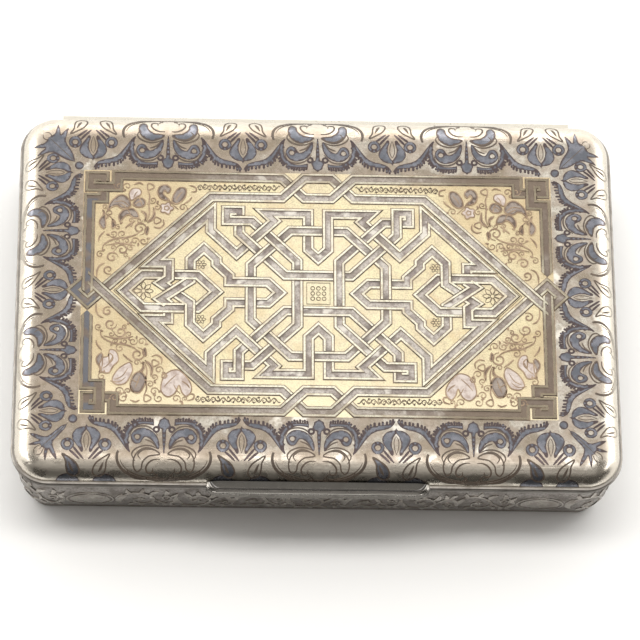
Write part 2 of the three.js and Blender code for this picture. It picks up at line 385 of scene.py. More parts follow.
# Painted shadow: the silver is darkened in a band where the lid meets the base, for the shade in the gap
# between them
GAP_SHADE_BELOW = 0.4
GAP_SHADE_ABOVE = 0.56
gap_shade_from, gap_shade_to = LID_BOTTOM - GAP_SHADE_BELOW, LID_BOTTOM + GAP_SHADE_ABOVE
gap_shade_starts = along(polished_silver, "Z", gap_shade_from - 0.05, gap_shade_from)
gap_shade_ends = along(polished_silver, "Z", gap_shade_to, gap_shade_to + 0.15, 0.95, 0.0)
tinted(polished_silver, gap_shade_starts * gap_shade_ends, (0.04, 0.034, 0.028))
# A brown film lies over the border in patches, and small spots are bare. Handling rubs the
# tarnish off the rounded edge, below the flat top.
RUBBED_FROM = 0.1
RUBBED_TO = 1.3
pink_patches = use_group(border_silver.node_tree, tarnish, Patch_Size=1.7, Amount=0.5)["Patches"]
pale_specks = use_group(border_silver.node_tree, tarnish, Patch_Size=1.1, Amount=0.55)["Specks"]
for mask, tint in (
    (patches_of(border_silver, 120.0, 0.42, 0.57, 0.85, 3.2), (0.26, 0.21, 0.155)),
    (patches_of(border_silver, 520.0, 0.48, 0.64, 0.7), (0.33, 0.27, 0.21)),
    (pink_patches, (0.45, 0.375, 0.315)),
    (pale_specks, (0.78, 0.72, 0.6)),
    (patches_of(border_silver, 190.0, 0.6, 0.68, 0.85), (0.86, 0.81, 0.72)),
    (along(border_silver, "Z", LID_TOP - RUBBED_TO, LID_TOP - RUBBED_FROM, 0.8, 0.0), CLEAN_SILVER),
):
    tinted(border_silver, mask, tint)

# %% [markdown]
# ## The shells
#
# Lid, base, band, wire and bezel are all raised from one plan: a rectangle with rounded corners.
# A profile of insets and heights, carried round that plan, gives each of them, just as a
# silversmith's stake gives the same corner to every piece. The frame's own shells are made the
# same way with few facets, so these finer ones lie exactly over them.


# %% Carry a profile round the plan
def shares(steps):
    return [step / steps for step in range(steps + 1)]


def plan_outline(inset):
    """The plan drawn in by an inset, anticlockwise seen from above."""
    radius = max(CORNER_RADIUS - inset, SMALLEST_RADIUS)
    middle_x = PLAN_X - inset - radius
    middle_y = PLAN_Y - inset - radius
    points = []
    for corner, (side_x, side_y) in enumerate(((1, 1), (-1, 1), (-1, -1), (1, -1))):
        for share in shares(CORNER_STEPS):
            angle = (corner + share) * math.pi / 2
            x = side_x * middle_x + radius * math.cos(angle)
            y = side_y * middle_y + radius * math.sin(angle)
            points.append((x, y))
    return points


def new_piece(name, points, faces, materials, indices=None, sharp=math.radians(35)):
    """A mesh object from points in millimetres."""
    mesh = bpy.data.meshes.new(name)
    mesh.from_pydata([Vector(point) * MM for point in points], [], faces)
    for material in materials:
        mesh.materials.append(material)
    if indices:
        mesh.polygons.foreach_set("material_index", indices)
    mesh.polygons.foreach_set("use_smooth", [True] * len(mesh.polygons))
    mesh.update()
    mesh.set_sharp_from_angle(angle=sharp)
    piece = bpy.data.objects.new(name, mesh)
    scene.collection.objects.link(piece)
    return piece


def dress(piece, body, node=None):
    """Tells the frame what a piece rides on, and hides the node that it replaces."""
    if node:
        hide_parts(node)
    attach(piece, body)
    print(piece.name, len(piece.data.polygons), "faces")


def ring_faces(rings, closed):
    """Faces between rings of equal length, as (face, number of its first ring).
    Where the row of rings isn't closed, its two ends are faces too."""
    count = len(rings[0])
    spans = len(rings) if closed else len(rings) - 1
    for ring in range(spans):
        after_ring = (ring + 1) % len(rings)
        for step in range(count):
            after = (step + 1) % count
            face = (ring * count + step, ring * count + after)
            yield face + (after_ring * count + after, after_ring * count + step), ring
    if not closed:
        yield tuple(reversed(range(count))), 0
        yield tuple(spans * count + step for step in range(count)), spans


def carried_round(name, profile, materials, capped=False, band_material=lambda ring: 0):
    """Profile points are (inset, height): up the outside of the piece and down its inside.
    band_material(ring number) picks a material for the faces above each profile point."""
    rings = [[(x, y, height) for x, y in plan_outline(inset)] for inset, height in profile]
    found = list(ring_faces(rings, closed=not capped))
    indices = [band_material(ring) for _, ring in found]
    return new_piece(name, sum(rings, []), [face for face, _ in found], materials, indices)


# %% The profiles that several pieces share
def rounded_edge(inset, run, drop):
    """A quarter ellipse from a wall's inset at the shoulder up to the flat top."""
    angles = [share * math.pi / 2 for share in shares(EDGE_STEPS)]
    return [(inset + run * (1 - math.cos(a)), SHOULDER + drop * math.sin(a)) for a in angles]


def foot_curve(inset):
    """The base wall's foot, from the plate up."""
    points = []
    for share in shares(EDGE_STEPS):
        turn = (1 - share) * FOOT_TURN
        drawn = (1 - math.cos(turn)) / (1 - math.cos(FOOT_TURN))
        fallen = math.sin(turn) / math.sin(FOOT_TURN)
        points.append((inset + FOOT_DRAW_IN * drawn, FOOT_TOP - (FOOT_TOP - PLATE_TOP) * fallen))
    return points


def bead(inset, out, bottom, top):
    """A round-fronted moulding that stands out of a wall between two heights."""
    points = []
    for share in shares(BEAD_STEPS):
        angle = (share - 0.5) * math.pi
        bulge = math.sqrt(max(math.cos(angle), 0.0))
        points.append((inset - out * bulge, bottom + (top - bottom) * (1 + math.sin(angle)) / 2))
    return points


# %% The lid's shell
lid_inside = rounded_edge(WIRE_OUT + LID_SHEET, EDGE_RUN - LID_SHEET, EDGE_DROP - LID_SHEET)
lid_profile = [*reversed(lid_inside), (WIRE_OUT + LID_SHEET, LID_BOTTOM), (WIRE_OUT, LID_BOTTOM)]
lid_profile += rounded_edge(WIRE_OUT, EDGE_RUN, EDGE_DROP)
lid_shell = carried_round(
    "lid_shell_raised",
    lid_profile,
    [border_silver, gilding],
    capped=True,
    band_material=lambda ring: 1 if ring < len(lid_inside) else 0,
)
dress(lid_shell, "lid", "lid_shell")

# %% The base's wall, plate and bezel
wall_profile = [*foot_curve(WALL_INSET), (WALL_INSET, BASE_TOP), (WALL_INSET + BASE_SHEET, BASE_TOP)]
wall_profile += reversed(foot_curve(WALL_INSET + BASE_SHEET))
outer_rings = EDGE_STEPS + 2
base_wall = carried_round(
    "base_wall_raised",
    wall_profile,
    [wall_silver, gilding],
    band_material=lambda ring: 0 if ring < outer_rings or ring == len(wall_profile) - 1 else 1,
)
base_plate = carried_round(
    "base_plate_flat",
    bead(WALL_INSET + FOOT_DRAW_IN, PLATE_LIP, 0.0, PLATE_TOP),
    [polished_silver, gilding],
    capped=True,
    band_material=lambda ring: 1 if ring == BEAD_STEPS else 0,
)
bezel_inset = WALL_INSET + BASE_SHEET
bezel_profile = [
    (bezel_inset, bezel_low.z),
    (bezel_inset, bezel_high.z - BEZEL_CHAMFER),
    (bezel_inset + BEZEL_CHAMFER, bezel_high.z),
    (bezel_inset + BEZEL_SHEET, bezel_high.z),
    (bezel_inset + BEZEL_SHEET, bezel_low.z),
]
base_bezel = carried_round("base_bezel_fitted", bezel_profile, [gilding])
dress(base_wall, "base", "base_wall")
dress(base_plate, "base", "base_plate")
dress(base_bezel, "base", "base_bezel")


# %% The rim wire and the base's band, cut away where the hinge lies
def make_plain(piece):
    """Turns a piece's modifiers into its own plain mesh."""
    graph = bpy.context.evaluated_depsgraph_get()
    plain = bpy.data.meshes.new_from_object(piece.evaluated_get(graph), depsgraph=graph)
    piece.modifiers.clear()
    piece.data = plain


def cut_by_box(piece, low, high):
    """Cuts a box, given by its corners in millimetres, out of a piece."""
    corners = [(x, y, z) for z in (low[2], high[2]) for y in (low[1], high[1]) for x in (low[0], high[0])]
    sides = [(0, 2, 3, 1), (4, 5, 7, 6), (0, 1, 5, 4), (2, 6, 7, 3), (0, 4, 6, 2), (1, 3, 7, 5)]
    block = new_piece("cutter", corners, sides, [])
    cutting = piece.modifiers.new("Cut", "BOOLEAN")
    cutting.object = block
    cutting.operation = "DIFFERENCE"
    cutting.solver = "EXACT"
    make_plain(piece)
    bpy.data.objects.remove(block)


hinge_half = hinge_end + HINGE_GAP
hinge_room = ((-hinge_half, 20.0, 5.0), (hinge_half, 40.0, 25.0))  # a box all round the hinge
wire_bead = bead(WIRE_OUT, WIRE_OUT, LID_BOTTOM, SHOULDER)
band_bead = bead(WALL_INSET, BAND_OUT, band_low.z, BASE_TOP)
rim_wire = carried_round("lid_rim_wire_drawn", wire_bead, [polished_silver])
rim_band = carried_round("base_rim_band_drawn", band_bead, [polished_silver])
for piece, node, body in ((rim_wire, "lid_rim_wire", "lid"), (rim_band, "base_rim_band", "base")):
    cut_by_box(piece, *hinge_room)
    dress(piece, body, node)

# %% [markdown]
# ## The hinge and the thumbpiece
#
# The knuckles, pin, plugs and leaves of the hinge keep the frame's own meshes, because their fit
# decides how the lid turns. They take the hinge's silver. The thumbpiece has a moulded front, so
# it is drawn again here with a finer section, swept along the front of the rim wire.

# %% The hinge's metal on the pieces that the frame already has
hinge_nodes = [name for name in frame["nodes"] if "knuckle" in name or "hinge" in name]
for name in hinge_nodes:
    mesh = bpy.data.objects[name].data
    mesh.materials.clear()
    mesh.materials.append(hinge_silver)
print("Hinge nodes dressed:", len(hinge_nodes))

# %% The thumbpiece
THUMB_GAP = 0.03
THUMB_END = 2.6
THUMB_TIP = 0.12
THUMB_STEPS = 16
THUMB_MIDDLE_STEPS = 40
THUMB_END_HEIGHT = 0.55
THUMB_END_RISE = 0.45
THUMB_BACK = 0.05
thumb_height = thumb_high.z - thumb_low.z
thumb_reach = wire_low.y - thumb_low.y - THUMB_GAP
# The front of its section: how far out and how far up, as shares of its reach and height
THUMB_FRONT = [(0.86, 0.0), (0.94, 0.03), (0.99, 0.08), (1.0, 0.13), (0.985, 0.2), (0.95, 0.3)]
THUMB_FRONT += [(0.93, 0.45), (0.925, 0.55), (0.91, 0.6), (0.88, 0.635), (0.84, 0.65), (0.8, 0.65)]
THUMB_FRONT += [(0.785, 0.66), (0.7, 0.7), (0.6, 0.755), (0.51, 0.81), (0.44, 0.855), (0.38, 0.88)]
THUMB_FRONT += [(0.3, 0.9), (0.2, 0.915), (0.1, 0.93)]


def thumb_ring(x, share):
    """One section of the thumbpiece. Towards an end, a share draws it in and makes it lower."""
    wall_back = THUMB_GAP - WIRE_OUT
    over_wire = SHOULDER - LID_BOTTOM + THUMB_GAP
    height = thumb_height * (THUMB_END_HEIGHT + THUMB_END_RISE * share)
    section = [(THUMB_GAP + thumb_reach * out * share, height * up) for out, up in THUMB_FRONT]
    section += [(wall_back + THUMB_BACK, height), (wall_back, height), (wall_back, over_wire)]
    section += [(THUMB_GAP, over_wire), (THUMB_GAP, 0.0)]
    return [(x, wire_low.y - out, LID_BOTTOM + up) for out, up in section]


thumb_ends = []
for share in shares(THUMB_STEPS):
    angle = share * math.pi / 2
    thumb_ends.append((thumb_high.x - THUMB_END * (1 - math.cos(angle)), max(math.sin(angle), THUMB_TIP)))
thumb_inner = thumb_ends[-1][0]
thumb_spots = [*thumb_ends]
for step in range(1, THUMB_MIDDLE_STEPS):
    thumb_spots.append((thumb_inner * (1 - 2 * step / THUMB_MIDDLE_STEPS), 1.0))
thumb_spots += [(-x, share) for x, share in reversed(thumb_ends)]
thumb_rings = [thumb_ring(x, share) for x, share in thumb_spots]
thumb_faces = [face for face, _ in ring_faces(thumb_rings, closed=False)]
# Its light and shade are painted in bands by height: painted shadow on its top under the lid,
# with one thin painted highlight line in it, lighter painted bands on the lip and painted shade on its
# front.
# Each tone holds between two heights, which are shares of the thumbpiece's height.
THUMB_PAINTED_BANDS = (
    (0.9, 1.1, (0.066, 0.062, 0.056)),
    (0.938, 0.952, (0.26, 0.25, 0.245)),
    (0.78, 0.88, (0.36, 0.34, 0.315)),
    (0.67, 0.77, (0.26, 0.25, 0.23)),
    (-0.1, 0.61, (0.15, 0.14, 0.125)),
)
TONE_EDGE = 0.004
# Its own pale silver shows only between the bands, as thin painted highlight lines
thumb_tones = ((0.8, 0.77, 0.72), (0.66, 0.63, 0.58), BROWN_DIRT)
thumb_silver = new_metal("thumb_silver", *thumb_tones, 0.26, 2.0, 0.8)
thumb_up = along(thumb_silver, "Z", LID_BOTTOM, LID_BOTTOM + thumb_height)
for low, high, tone in THUMB_PAINTED_BANDS:
    above = remap(thumb_up, low - TONE_EDGE, low + TONE_EDGE)
    below = remap(thumb_up, high - TONE_EDGE, high + TONE_EDGE, 1.0, 0.0)
    tinted(thumb_silver, above * below, tone)
thumb_points = sum(thumb_rings, [])
thumb = new_piece("thumbpiece_moulded", thumb_points, thumb_faces, [thumb_silver], sharp=math.radians(50))
dress(thumb, "lid", "thumbpiece")

# %% [markdown]
# ## Drawing ornament flat
#
# Niello and engraving are drawn flat and then worked into curved metal. The script does the same.
# An outline becomes a thin closed slab, and a line becomes a thin slab along its path. Each shape
# is cut into small faces, because it has to bend later, and each point remembers how near it is
# to the shape's edge, so that a material can darken the rim of an inlay.

# %% Smooth paths, mirrored shapes and circles
INLAY_GRID = 0.4
INLAY_TOP = 0.022
INLAY_BOTTOM = -0.03
SLAB_STEP = 0.0015


def smooth(points, closed=False, steps=4):
    """A smooth path through the given points."""
    points = [Vector(point) for point in points]
    count = len(points)
    path = []
    for span in range(count if closed else count - 1):
        near = []
        for place in range(span - 1, span + 3):
            near.append(points[place % count] if closed else points[min(max(place, 0), count - 1)])
        before, start, end, after = near
        for step in range(steps):
            t = step / steps
            straight = 2 * start + (end - before) * t
            bend = (2 * before - 5 * start + 4 * end - after) * t * t
            path.append((straight + bend + (3 * start - before - 3 * end + after) * t**3) / 2)
    if not closed:
        path.append(points[-1])
    return path


def left_of(way):
    """The direction a quarter turn to the left."""
    return Vector((-way.y, way.x))


def way_at(angle):
    return Vector((math.cos(angle), math.sin(angle)))


def at_angle(middle, angle, reach, tall=None):
    """A point of a circle, or of an ellipse where tall is given."""
    return Vector((middle[0] + reach * math.cos(angle), middle[1] + (tall or reach) * math.sin(angle)))


def mirrored(path):
    return [Vector((-point[0], point[1])) for point in reversed(path)]


def both_sides(paths):
    return [*paths, *(mirrored(path) for path in paths)]


def ring(middle, radius, tall=None, steps=16, start=0.0, turn=math.tau):
    """A circle, or an ellipse where tall is given, or a part of one."""
    count = steps if turn == math.tau else steps + 1
    return [at_angle(middle, start + turn * step / steps, radius, tall) for step in range(count)]


# %% Fill an outline, or follow a path with a line
ROW_SHARE = 0.87  # a filling's rows are this share of its grid apart
CLEAR_SHARE = 0.42  # and its points keep this share of the grid away from the outline
TAPER_RATE = 2.4


def inside(point, loops):
    """Whether a point lies inside an odd number of the loops."""
    odd = False
    for loop in loops:
        for index, end in enumerate(loop):
            start = loop[index - 1]
            if (start[1] > point[1]) != (end[1] > point[1]):
                across = (point[1] - start[1]) / (end[1] - start[1])
                odd ^= point[0] < start[0] + across * (end[0] - start[0])
    return odd


def fill(*loops, grid=INLAY_GRID):
    """A flat shape from its outline and holes: points, faces and nearness to the edge."""
    points = []
    edges = []
    for loop in loops:
        first = len(points)
        points.extend(Vector(point[:2]) for point in loop)
        edges.extend((first + step, first + (step + 1) % len(loop)) for step in range(len(loop)))
    rim = list(points)
    low_x, high_x = min(p.x for p in rim), max(p.x for p in rim)
    low_y, high_y = min(p.y for p in rim), max(p.y for p in rim)
    row = 0
    y = low_y + grid / 2
    while y < high_y:
        x = low_x + grid / 2 * (1 + row % 2)
        while x < high_x:
            spot = Vector((x, y))
            nearest = min((spot - p).length_squared for p in rim)
            if nearest > (CLEAR_SHARE * grid) ** 2 and inside(spot, loops):
                points.append(spot)
            x += grid
        y += grid * ROW_SHARE
        row += 1
    found, _, faces, origins, _, _ = delaunay_2d_cdt(points, edges, [], 0, 1e-7)
    kept = []
    for face in faces:
        middle = sum((found[corner] for corner in face), Vector((0.0, 0.0))) / len(face)
        if inside(middle, loops):
            kept.append(tuple(face))
    nearness = [1.0 if not origin or min(origin) < len(rim) else 0.0 for origin in origins]
    return found, kept, nearness


def line(path, width, closed=False, taper=0.35):
    """A flat line of a given width along a path, drawn finer towards its ends."""
    path = [Vector(point[:2]) for point in path]
    count = len(path)
    points = []
    for index, spot in enumerate(path):
        before = path[index - 1] if closed or index else spot
        after = path[(index + 1) % count] if closed or index < count - 1 else spot
        along = (after - before).normalized()
        side = left_of(along)
        share = 1.0
        if not closed:
            share = min(1.0, taper + TAPER_RATE * min(index, count - 1 - index) / max(count - 1, 1))
        points.extend((spot + side * width / 2 * share, spot - side * width / 2 * share))
    faces = []
    for step in range(count if closed else count - 1):
        here, there = 2 * step, 2 * ((step + 1) % count)
        faces.append((here, here + 1, there + 1, there))
    return points, faces, [1.0] * len(points)


# %% Raise flat shapes as thin slabs
def slab_mesh(name, shapes, top=INLAY_TOP, bottom=INLAY_BOTTOM):
    """One mesh of closed thin slabs, with the nearness to each one's edge as an attribute.
    Each slab is a little taller than the last, so that where two overlap their tops stay apart."""
    points, faces, nearness = [], [], []
    for number, (flat, flat_faces, near) in enumerate(shapes):
        first = len(points)
        under = first + len(flat)
        extra = SLAB_STEP * (number % 7)
        points.extend((p[0], p[1], top + extra) for p in flat)
        points.extend((p[0], p[1], bottom - extra) for p in flat)
        nearness.extend([*near, *near])
        sides = {}
        for face in flat_faces:
            faces.append(tuple(first + corner for corner in face))
            faces.append(tuple(under + corner for corner in reversed(face)))
            for index, corner in enumerate(face):
                sides[(face[index - 1], corner)] = True
        for start, end in sides:
            if (end, start) not in sides:
                faces.append((first + end, first + start, under + start, under + end))
    mesh = bpy.data.meshes.new(name)
    mesh.from_pydata([Vector(point) * MM for point in points], [], faces)
    rim = mesh.attributes.new("rim", "FLOAT", "POINT")
    rim.data.foreach_set("value", nearness)
    return mesh


# %% [markdown]
# ## Laying flat ornament over the lid
#
# A Geometry Nodes tree places the flat motifs round the panel and bends them over the lid's edge.
# Each motif is an instance on a station, a point with a turn and a width. Once the instances are
# real, Set Position takes each point's distance beyond the flat top and winds it round a quarter
# ellipse, so a shape keeps its true size on the curve, as if it had been cut out of foil.

# %% Helpers for the trees that lay ornament
def named(tree, name, data_type="FLOAT"):
    made = add_node(tree, "GeometryNodeInputNamedAttribute", {"data_type": data_type}, {"Name": name})
    return next(socket for socket in made.outputs if socket.enabled)


def vector(tree, x, y, z):
    return add_node(tree, "ShaderNodeCombineXYZ", {}, {"X": x, "Y": y, "Z": z}).outputs["Vector"]


def stand_motifs(tree, given):
    """The motifs at their stations, made real, and the x, y and z of their points."""
    motifs = add_node(
        tree,
        "GeometryNodeCollectionInfo",
        {"transform_space": "ORIGINAL"},
        {"Collection": given["Motifs"], "Separate Children": True, "Reset Children": True},
    )
    placed = add_node(
        tree,
        "GeometryNodeInstanceOnPoints",
        {},
        {
            "Points": given["Stations"],
            "Instance": motifs.outputs["Instances"],
            "Pick Instance": True,
            "Instance Index": named(tree, "motif", "INT"),
            "Rotation": vector(tree, 0.0, 0.0, named(tree, "turn")),
            "Scale": vector(tree, named(tree, "width"), 1.0, 1.0),
        },
    )
    real = add_node(tree, "GeometryNodeRealizeInstances", {}, {"Geometry": placed.outputs[0]})
    return real.outputs[0], parts_of(add_node(tree, "GeometryNodeInputPosition").outputs[0])


def end_tree(tree, geometry, spot, given, results):
    """Moves the points to their spots and gives them their material."""
    moved = add_node(tree, "GeometryNodeSetPosition", {}, {"Geometry": geometry, "Position": spot})
    finish = {"Geometry": moved.outputs[0], "Material": given["Finish"]}
    plug(results["Geometry"], add_node(tree, "GeometryNodeSetMaterial", {}, finish).outputs[0])
    print("Tree:", tree.name, len(tree.nodes), "nodes")


# %% Build the tree that lays motifs over the lid
EDGE_MEAN = (EDGE_RUN + EDGE_DROP) / 2
EDGE_EASE = (EDGE_RUN**2 - EDGE_DROP**2) / (8 * EDGE_MEAN**2)
FLAT_EDGE = SMALLEST_RADIUS * MM
edge_values = {
    "Core Length": (PLAN_X - CORNER_RADIUS) * MM,
    "Core Depth": (PLAN_Y - CORNER_RADIUS) * MM,
    "Top": LID_TOP * MM,
    "Run": EDGE_RUN * MM,
    "Drop": EDGE_DROP * MM,
}
laying, given, results = new_group(
    "GeometryNodeTree",
    "Lay motifs over the lid",
    {
        "Stations": "Geometry",
        "Motifs": "Collection",
        **dict.fromkeys(edge_values, 0.0),
        "Finish": "Material",
    },
    {"Geometry": "Geometry"},
)
motifs_made, (x, y, z) = stand_motifs(laying, given)
core = []
for value, half in ((x, given["Core Length"]), (y, given["Core Depth"])):
    limits = {"Value": value, "Min": half * -1.0, "Max": half}
    core.append(Number(add_node(laying, "ShaderNodeClamp", {}, limits).outputs[0]))
away_x, away_y = x - core[0], y - core[1]
distance = maths("MAXIMUM", maths("SQRT", away_x * away_x + away_y * away_y), 1e-9)
even = maths("MAXIMUM", distance - FLAT_EDGE, 0.0) / (EDGE_MEAN * MM)
bent = maths("MINIMUM", even - maths("SINE", even * 2.0) * EDGE_EASE, math.pi / 2)
sine, cosine = maths("SINE", bent), maths("COSINE", bent)
normal_out, normal_up = sine * given["Drop"], cosine * given["Run"]
lifted = z / maths("SQRT", normal_out * normal_out + normal_up * normal_up)
reach = maths("MINIMUM", distance, FLAT_EDGE) + (sine * given["Run"] + normal_out * lifted)
laid_x = core[0] + away_x / distance * reach
laid_y = core[1] + away_y / distance * reach
laid_z = given["Top"] - (1.0 - cosine) * given["Drop"] + normal_up * lifted
end_tree(laying, motifs_made, vector(laying, laid_x, laid_y, laid_z), given, results)


# %% Lay a set of motifs at their stations
def lay(name, tree, values, motifs, stations, material):
    """motifs: name to mesh. stations: (motif name, x, y, turn, width)."""
    names = sorted(motifs)
    shelf = bpy.data.collections.new(name + "_motifs")
    for motif in names:
        shelf.objects.link(bpy.data.objects.new(name + "_" + motif, motifs[motif]))
    mesh = bpy.data.meshes.new(name)
    mesh.from_pydata([Vector((x, y, 0)) * MM for _, x, y, _, _ in stations], [], [])
    for column, kind, numbers in (
        ("motif", "INT", [names.index(station[0]) for station in stations]),
        ("turn", "FLOAT", [station[3] for station in stations]),
        ("width", "FLOAT", [station[4] for station in stations]),
    ):
        mesh.attributes.new(column, kind, "POINT").data.foreach_set("value", numbers)
    piece = bpy.data.objects.new(name, mesh)
    scene.collection.objects.link(piece)
    modifier = piece.modifiers.new("Lay", "NODES")
    modifier.node_group = tree
    sockets = {item.name: item.identifier for item in tree.interface.items_tree}
    for label, value in {**values, "Motifs": shelf, "Finish": material}.items():
        modifier[sockets[label]] = value
    make_plain(piece)
    piece.data.materials.clear()
    piece.data.materials.append(material)
    for motif in list(shelf.objects):
        bpy.data.objects.remove(motif)
    bpy.data.collections.remove(shelf)
    return piece


def lay_motifs(name, motifs, stations, material):
    """Motifs over the lid, with smooth faces."""
    piece = lay(name, laying, edge_values, motifs, stations, material)
    piece.data.polygons.foreach_set("use_smooth", [True] * len(piece.data.polygons))
    piece.data.set_sharp_from_angle(angle=math.radians(40))
    dress(piece, "lid")


# %% [markdown]
# ## The border's motifs
#
# Two motifs take turns round the lid: a lotus bud under an ogee arch, and a fan of palmettes over
# a roundel. A leaf fills each corner. They are drawn here with u across and v outwards from the
# panel's frame. Most of a motif is the mirror of its right half. Leaf backs carry small fingers,
# which a loop adds.


# %% Leaves with fingers along the back
def fingered(edge, back, fingers, length, width=0.46):
    """A leaf from its smooth inner edge and its back, with fingers that grow from the back.
    fingers: (share along the back, direction, length as a share)."""
    back_path = smooth(back, steps=6)
    last = len(back_path) - 1
    returned = []
    walked = last
    for share, direction, long in sorted(fingers, reverse=True):
        place = round(share * last)
        here = back_path[place]
        along = (back_path[max(place - 1, 0)] - back_path[min(place + 1, last)]).normalized()
        way = way_at(direction)
        across = left_of(way)
        across *= 1 if across.dot(along) > 0 else -1
        while walked > 0 and (back_path[walked] - here).dot(along) < -width * 0.5:
            returned.append(back_path[walked])
            walked -= 1
        middle = here + way * (length * long - width * 0.4)
        returned.append(here - across * width * 0.42)
        for turn in (-1.0, -0.5, 0.0, 0.5, 1.0):
            bend = turn * math.pi / 2
            beside = middle + across * math.sin(bend) * width * 0.4
            returned.append(beside + way * math.cos(bend) * width * 0.4)
        returned.append(here + across * width * 0.42)
        while walked > 0 and (back_path[walked] - here).dot(along) < width * 0.5:
            walked -= 1
    returned.extend(back_path[step] for step in range(walked, -1, -1))
    return smooth(edge) + returned


# %% The lotus bud and its arch
TOWARD_PANEL = -math.pi / 2
bud_half = smooth(
    [(0.0, 1.6), (0.25, 1.95), (0.8, 2.0), (1.45, 2.3), (1.95, 2.9), (2.1, 3.5), (1.9, 4.2), (1.5, 4.8)]
    + [(1.1, 5.35), (0.8, 5.85), (0.5, 5.9), (0.42, 5.4), (0.64, 4.7), (0.68, 4.0), (0.45, 3.1)]
    + [(0.0, 2.45)]
)
bud_heart = both_sides([smooth([(0.0, 2.9), (0.3, 3.5), (0.36, 4.2), (0.25, 5.0), (0.0, 5.8)])])
bud_strokes = both_sides(
    [
        smooth([(1.95, 5.1), (1.3, 5.9), (0.35, 7.0)]),
        smooth([(2.5, 5.65), (1.8, 6.2), (0.95, 7.0)]),
    ]
)
bud_shapes = [fill(path) for path in both_sides([bud_half])]
bud_shapes += [fill(ring((x, 4.75), 1.0), ring((x, 4.75), 0.4)) for x in (2.75, -2.75)]
bud_shapes += [line(path, 0.36) for path in bud_strokes]
bud_lines = [line(path, 0.13) for path in bud_heart]
arch_edge = [(0.1, 0.45), (0.3, 0.95), (0.8, 1.5), (1.6, 1.85), (2.8, 2.15), (3.6, 2.55), (4.2, 3.15)]
arch_edge += [(4.8, 3.95), (5.4, 4.8), (5.95, 5.55), (6.4, 5.95)]
arch_back = [(0.25, 0.5), (0.75, 0.82), (1.5, 1.08), (2.5, 1.22), (3.5, 1.4), (4.2, 1.8), (4.7, 2.4)]
arch_back += [(5.1, 3.1), (5.5, 3.9), (5.85, 4.5), (6.15, 5.05), (6.45, 5.7)]
TEETH = 15
arch_fingers = []
for step in range(TEETH):
    swing = 0.09 * max(step - 6, 0)
    arch_fingers.append((0.05 + 0.057 * step, TOWARD_PANEL + swing, 1.0 if step % 2 else 0.85))
arch_right = fingered(arch_edge, arch_back, arch_fingers, 0.62)
drop_right = smooth(
    [(3.5, 6.2), (2.4, 6.8), (1.5, 7.5), (1.0, 8.5), (1.1, 9.3), (1.8, 9.7), (2.6, 9.2), (2.9, 8.2)]
    + [(3.0, 7.2)],
    True,
)
drop_heart = smooth([(2.6, 7.3), (2.1, 8.0), (1.8, 8.9), (2.3, 8.5)], True)
rim_lobe = ring((2.7, 10.9), 1.75, 1.7, 14, math.pi, math.pi)

# %% The fan of palmettes and its roundel
trefoil = smooth(
    [(0.0, 0.3), (0.28, 0.55), (0.68, 0.8), (0.8, 1.25), (0.98, 1.75), (0.72, 2.15), (0.34, 2.35)]
    + [(0.27, 3.7), (0.08, 6.0)]
)
stem = trefoil + mirrored(trefoil)
crescent_right = smooth(
    [(0.7, 5.3), (0.72, 4.3), (1.15, 3.2), (2.0, 2.4), (3.2, 2.05), (4.2, 2.35), (4.85, 3.2), (4.75, 4.1)]
    + [(4.2, 4.6), (3.5, 4.45), (3.1, 3.85), (2.75, 3.5), (2.15, 3.75), (1.65, 4.2), (1.25, 4.8)]
    + [(1.0, 5.3)],
    True,
)
serrated_edge = [(1.5, 1.7), (2.4, 1.5), (3.3, 1.5), (4.2, 1.9), (4.9, 2.65), (5.15, 3.5), (5.2, 4.4)]
serrated_edge += [(5.1, 5.4)]
serrated_back = [(1.5, 1.1), (2.4, 0.98), (3.3, 0.95), (4.4, 1.25), (5.25, 1.95), (5.8, 3.0), (5.95, 4.1)]
serrated_back += [(5.6, 5.3)]
serrated_fingers = []
for step in range(TEETH):
    serrated_fingers.append((0.04 + 0.053 * step, TOWARD_PANEL + 0.085 * step, 1.0 if step % 2 else 0.8))
serrated_right = fingered(serrated_edge, serrated_back, serrated_fingers, 0.6)
fan_shapes = [fill(stem)]
fan_shapes += [fill(ring((x, 2.3), 0.55), ring((x, 2.3), 0.22)) for x in (1.15, -1.15)]
for x, crescent, serrated in zip((3.95, -3.95), both_sides([crescent_right]), both_sides([serrated_right])):
    fan_shapes += [fill(crescent, ring((x, 3.5), 0.36)), fill(serrated)]
fan_paths = both_sides(
    [
        smooth([(5.05, 3.6), (4.6, 2.2), (3.3, 1.75), (2.0, 2.05), (0.95, 3.2)]),
        smooth([(2.8, 3.9), (1.8, 4.3), (1.0, 5.2)]),
        smooth([(0.8, 5.4), (1.8, 4.95), (3.0, 4.9), (4.2, 5.4), (4.7, 6.2), (4.2, 7.2)]),
        smooth([(1.0, 5.7), (2.0, 5.4), (3.0, 5.5), (3.8, 6.2), (3.4, 6.9)]),
    ]
)
roundel_rings = [
    ring((0.0, 6.6), 6.9, 3.9, 36, math.radians(-14), math.radians(208)),
    ring((0.0, 6.5), 6.45, 3.55, 30, math.radians(8), math.radians(164)),
]
lower_crescent = smooth(
    [(0.6, 6.1), (1.4, 5.5), (2.6, 5.2), (3.7, 5.7), (4.4, 6.8), (4.4, 8.1), (3.9, 8.8), (3.3, 8.3)]
    + [(3.1, 7.3), (2.3, 6.5), (1.4, 6.3)],
    True,
)
inner_curl = smooth([(0.5, 6.9), (1.3, 6.9), (2.1, 7.3), (2.6, 8.1), (2.4, 8.9), (1.7, 8.9), (1.6, 8.2)])
roundel_scroll = smooth([(0.9, 9.2), (1.9, 10.1), (3.3, 10.3), (4.7, 9.7), (5.4, 8.5)])
roundel_vee = [(-1.5, 8.8), (0.0, 10.5), (1.5, 8.8)]
fan_lines = [line(path, 0.24) for path in fan_paths]
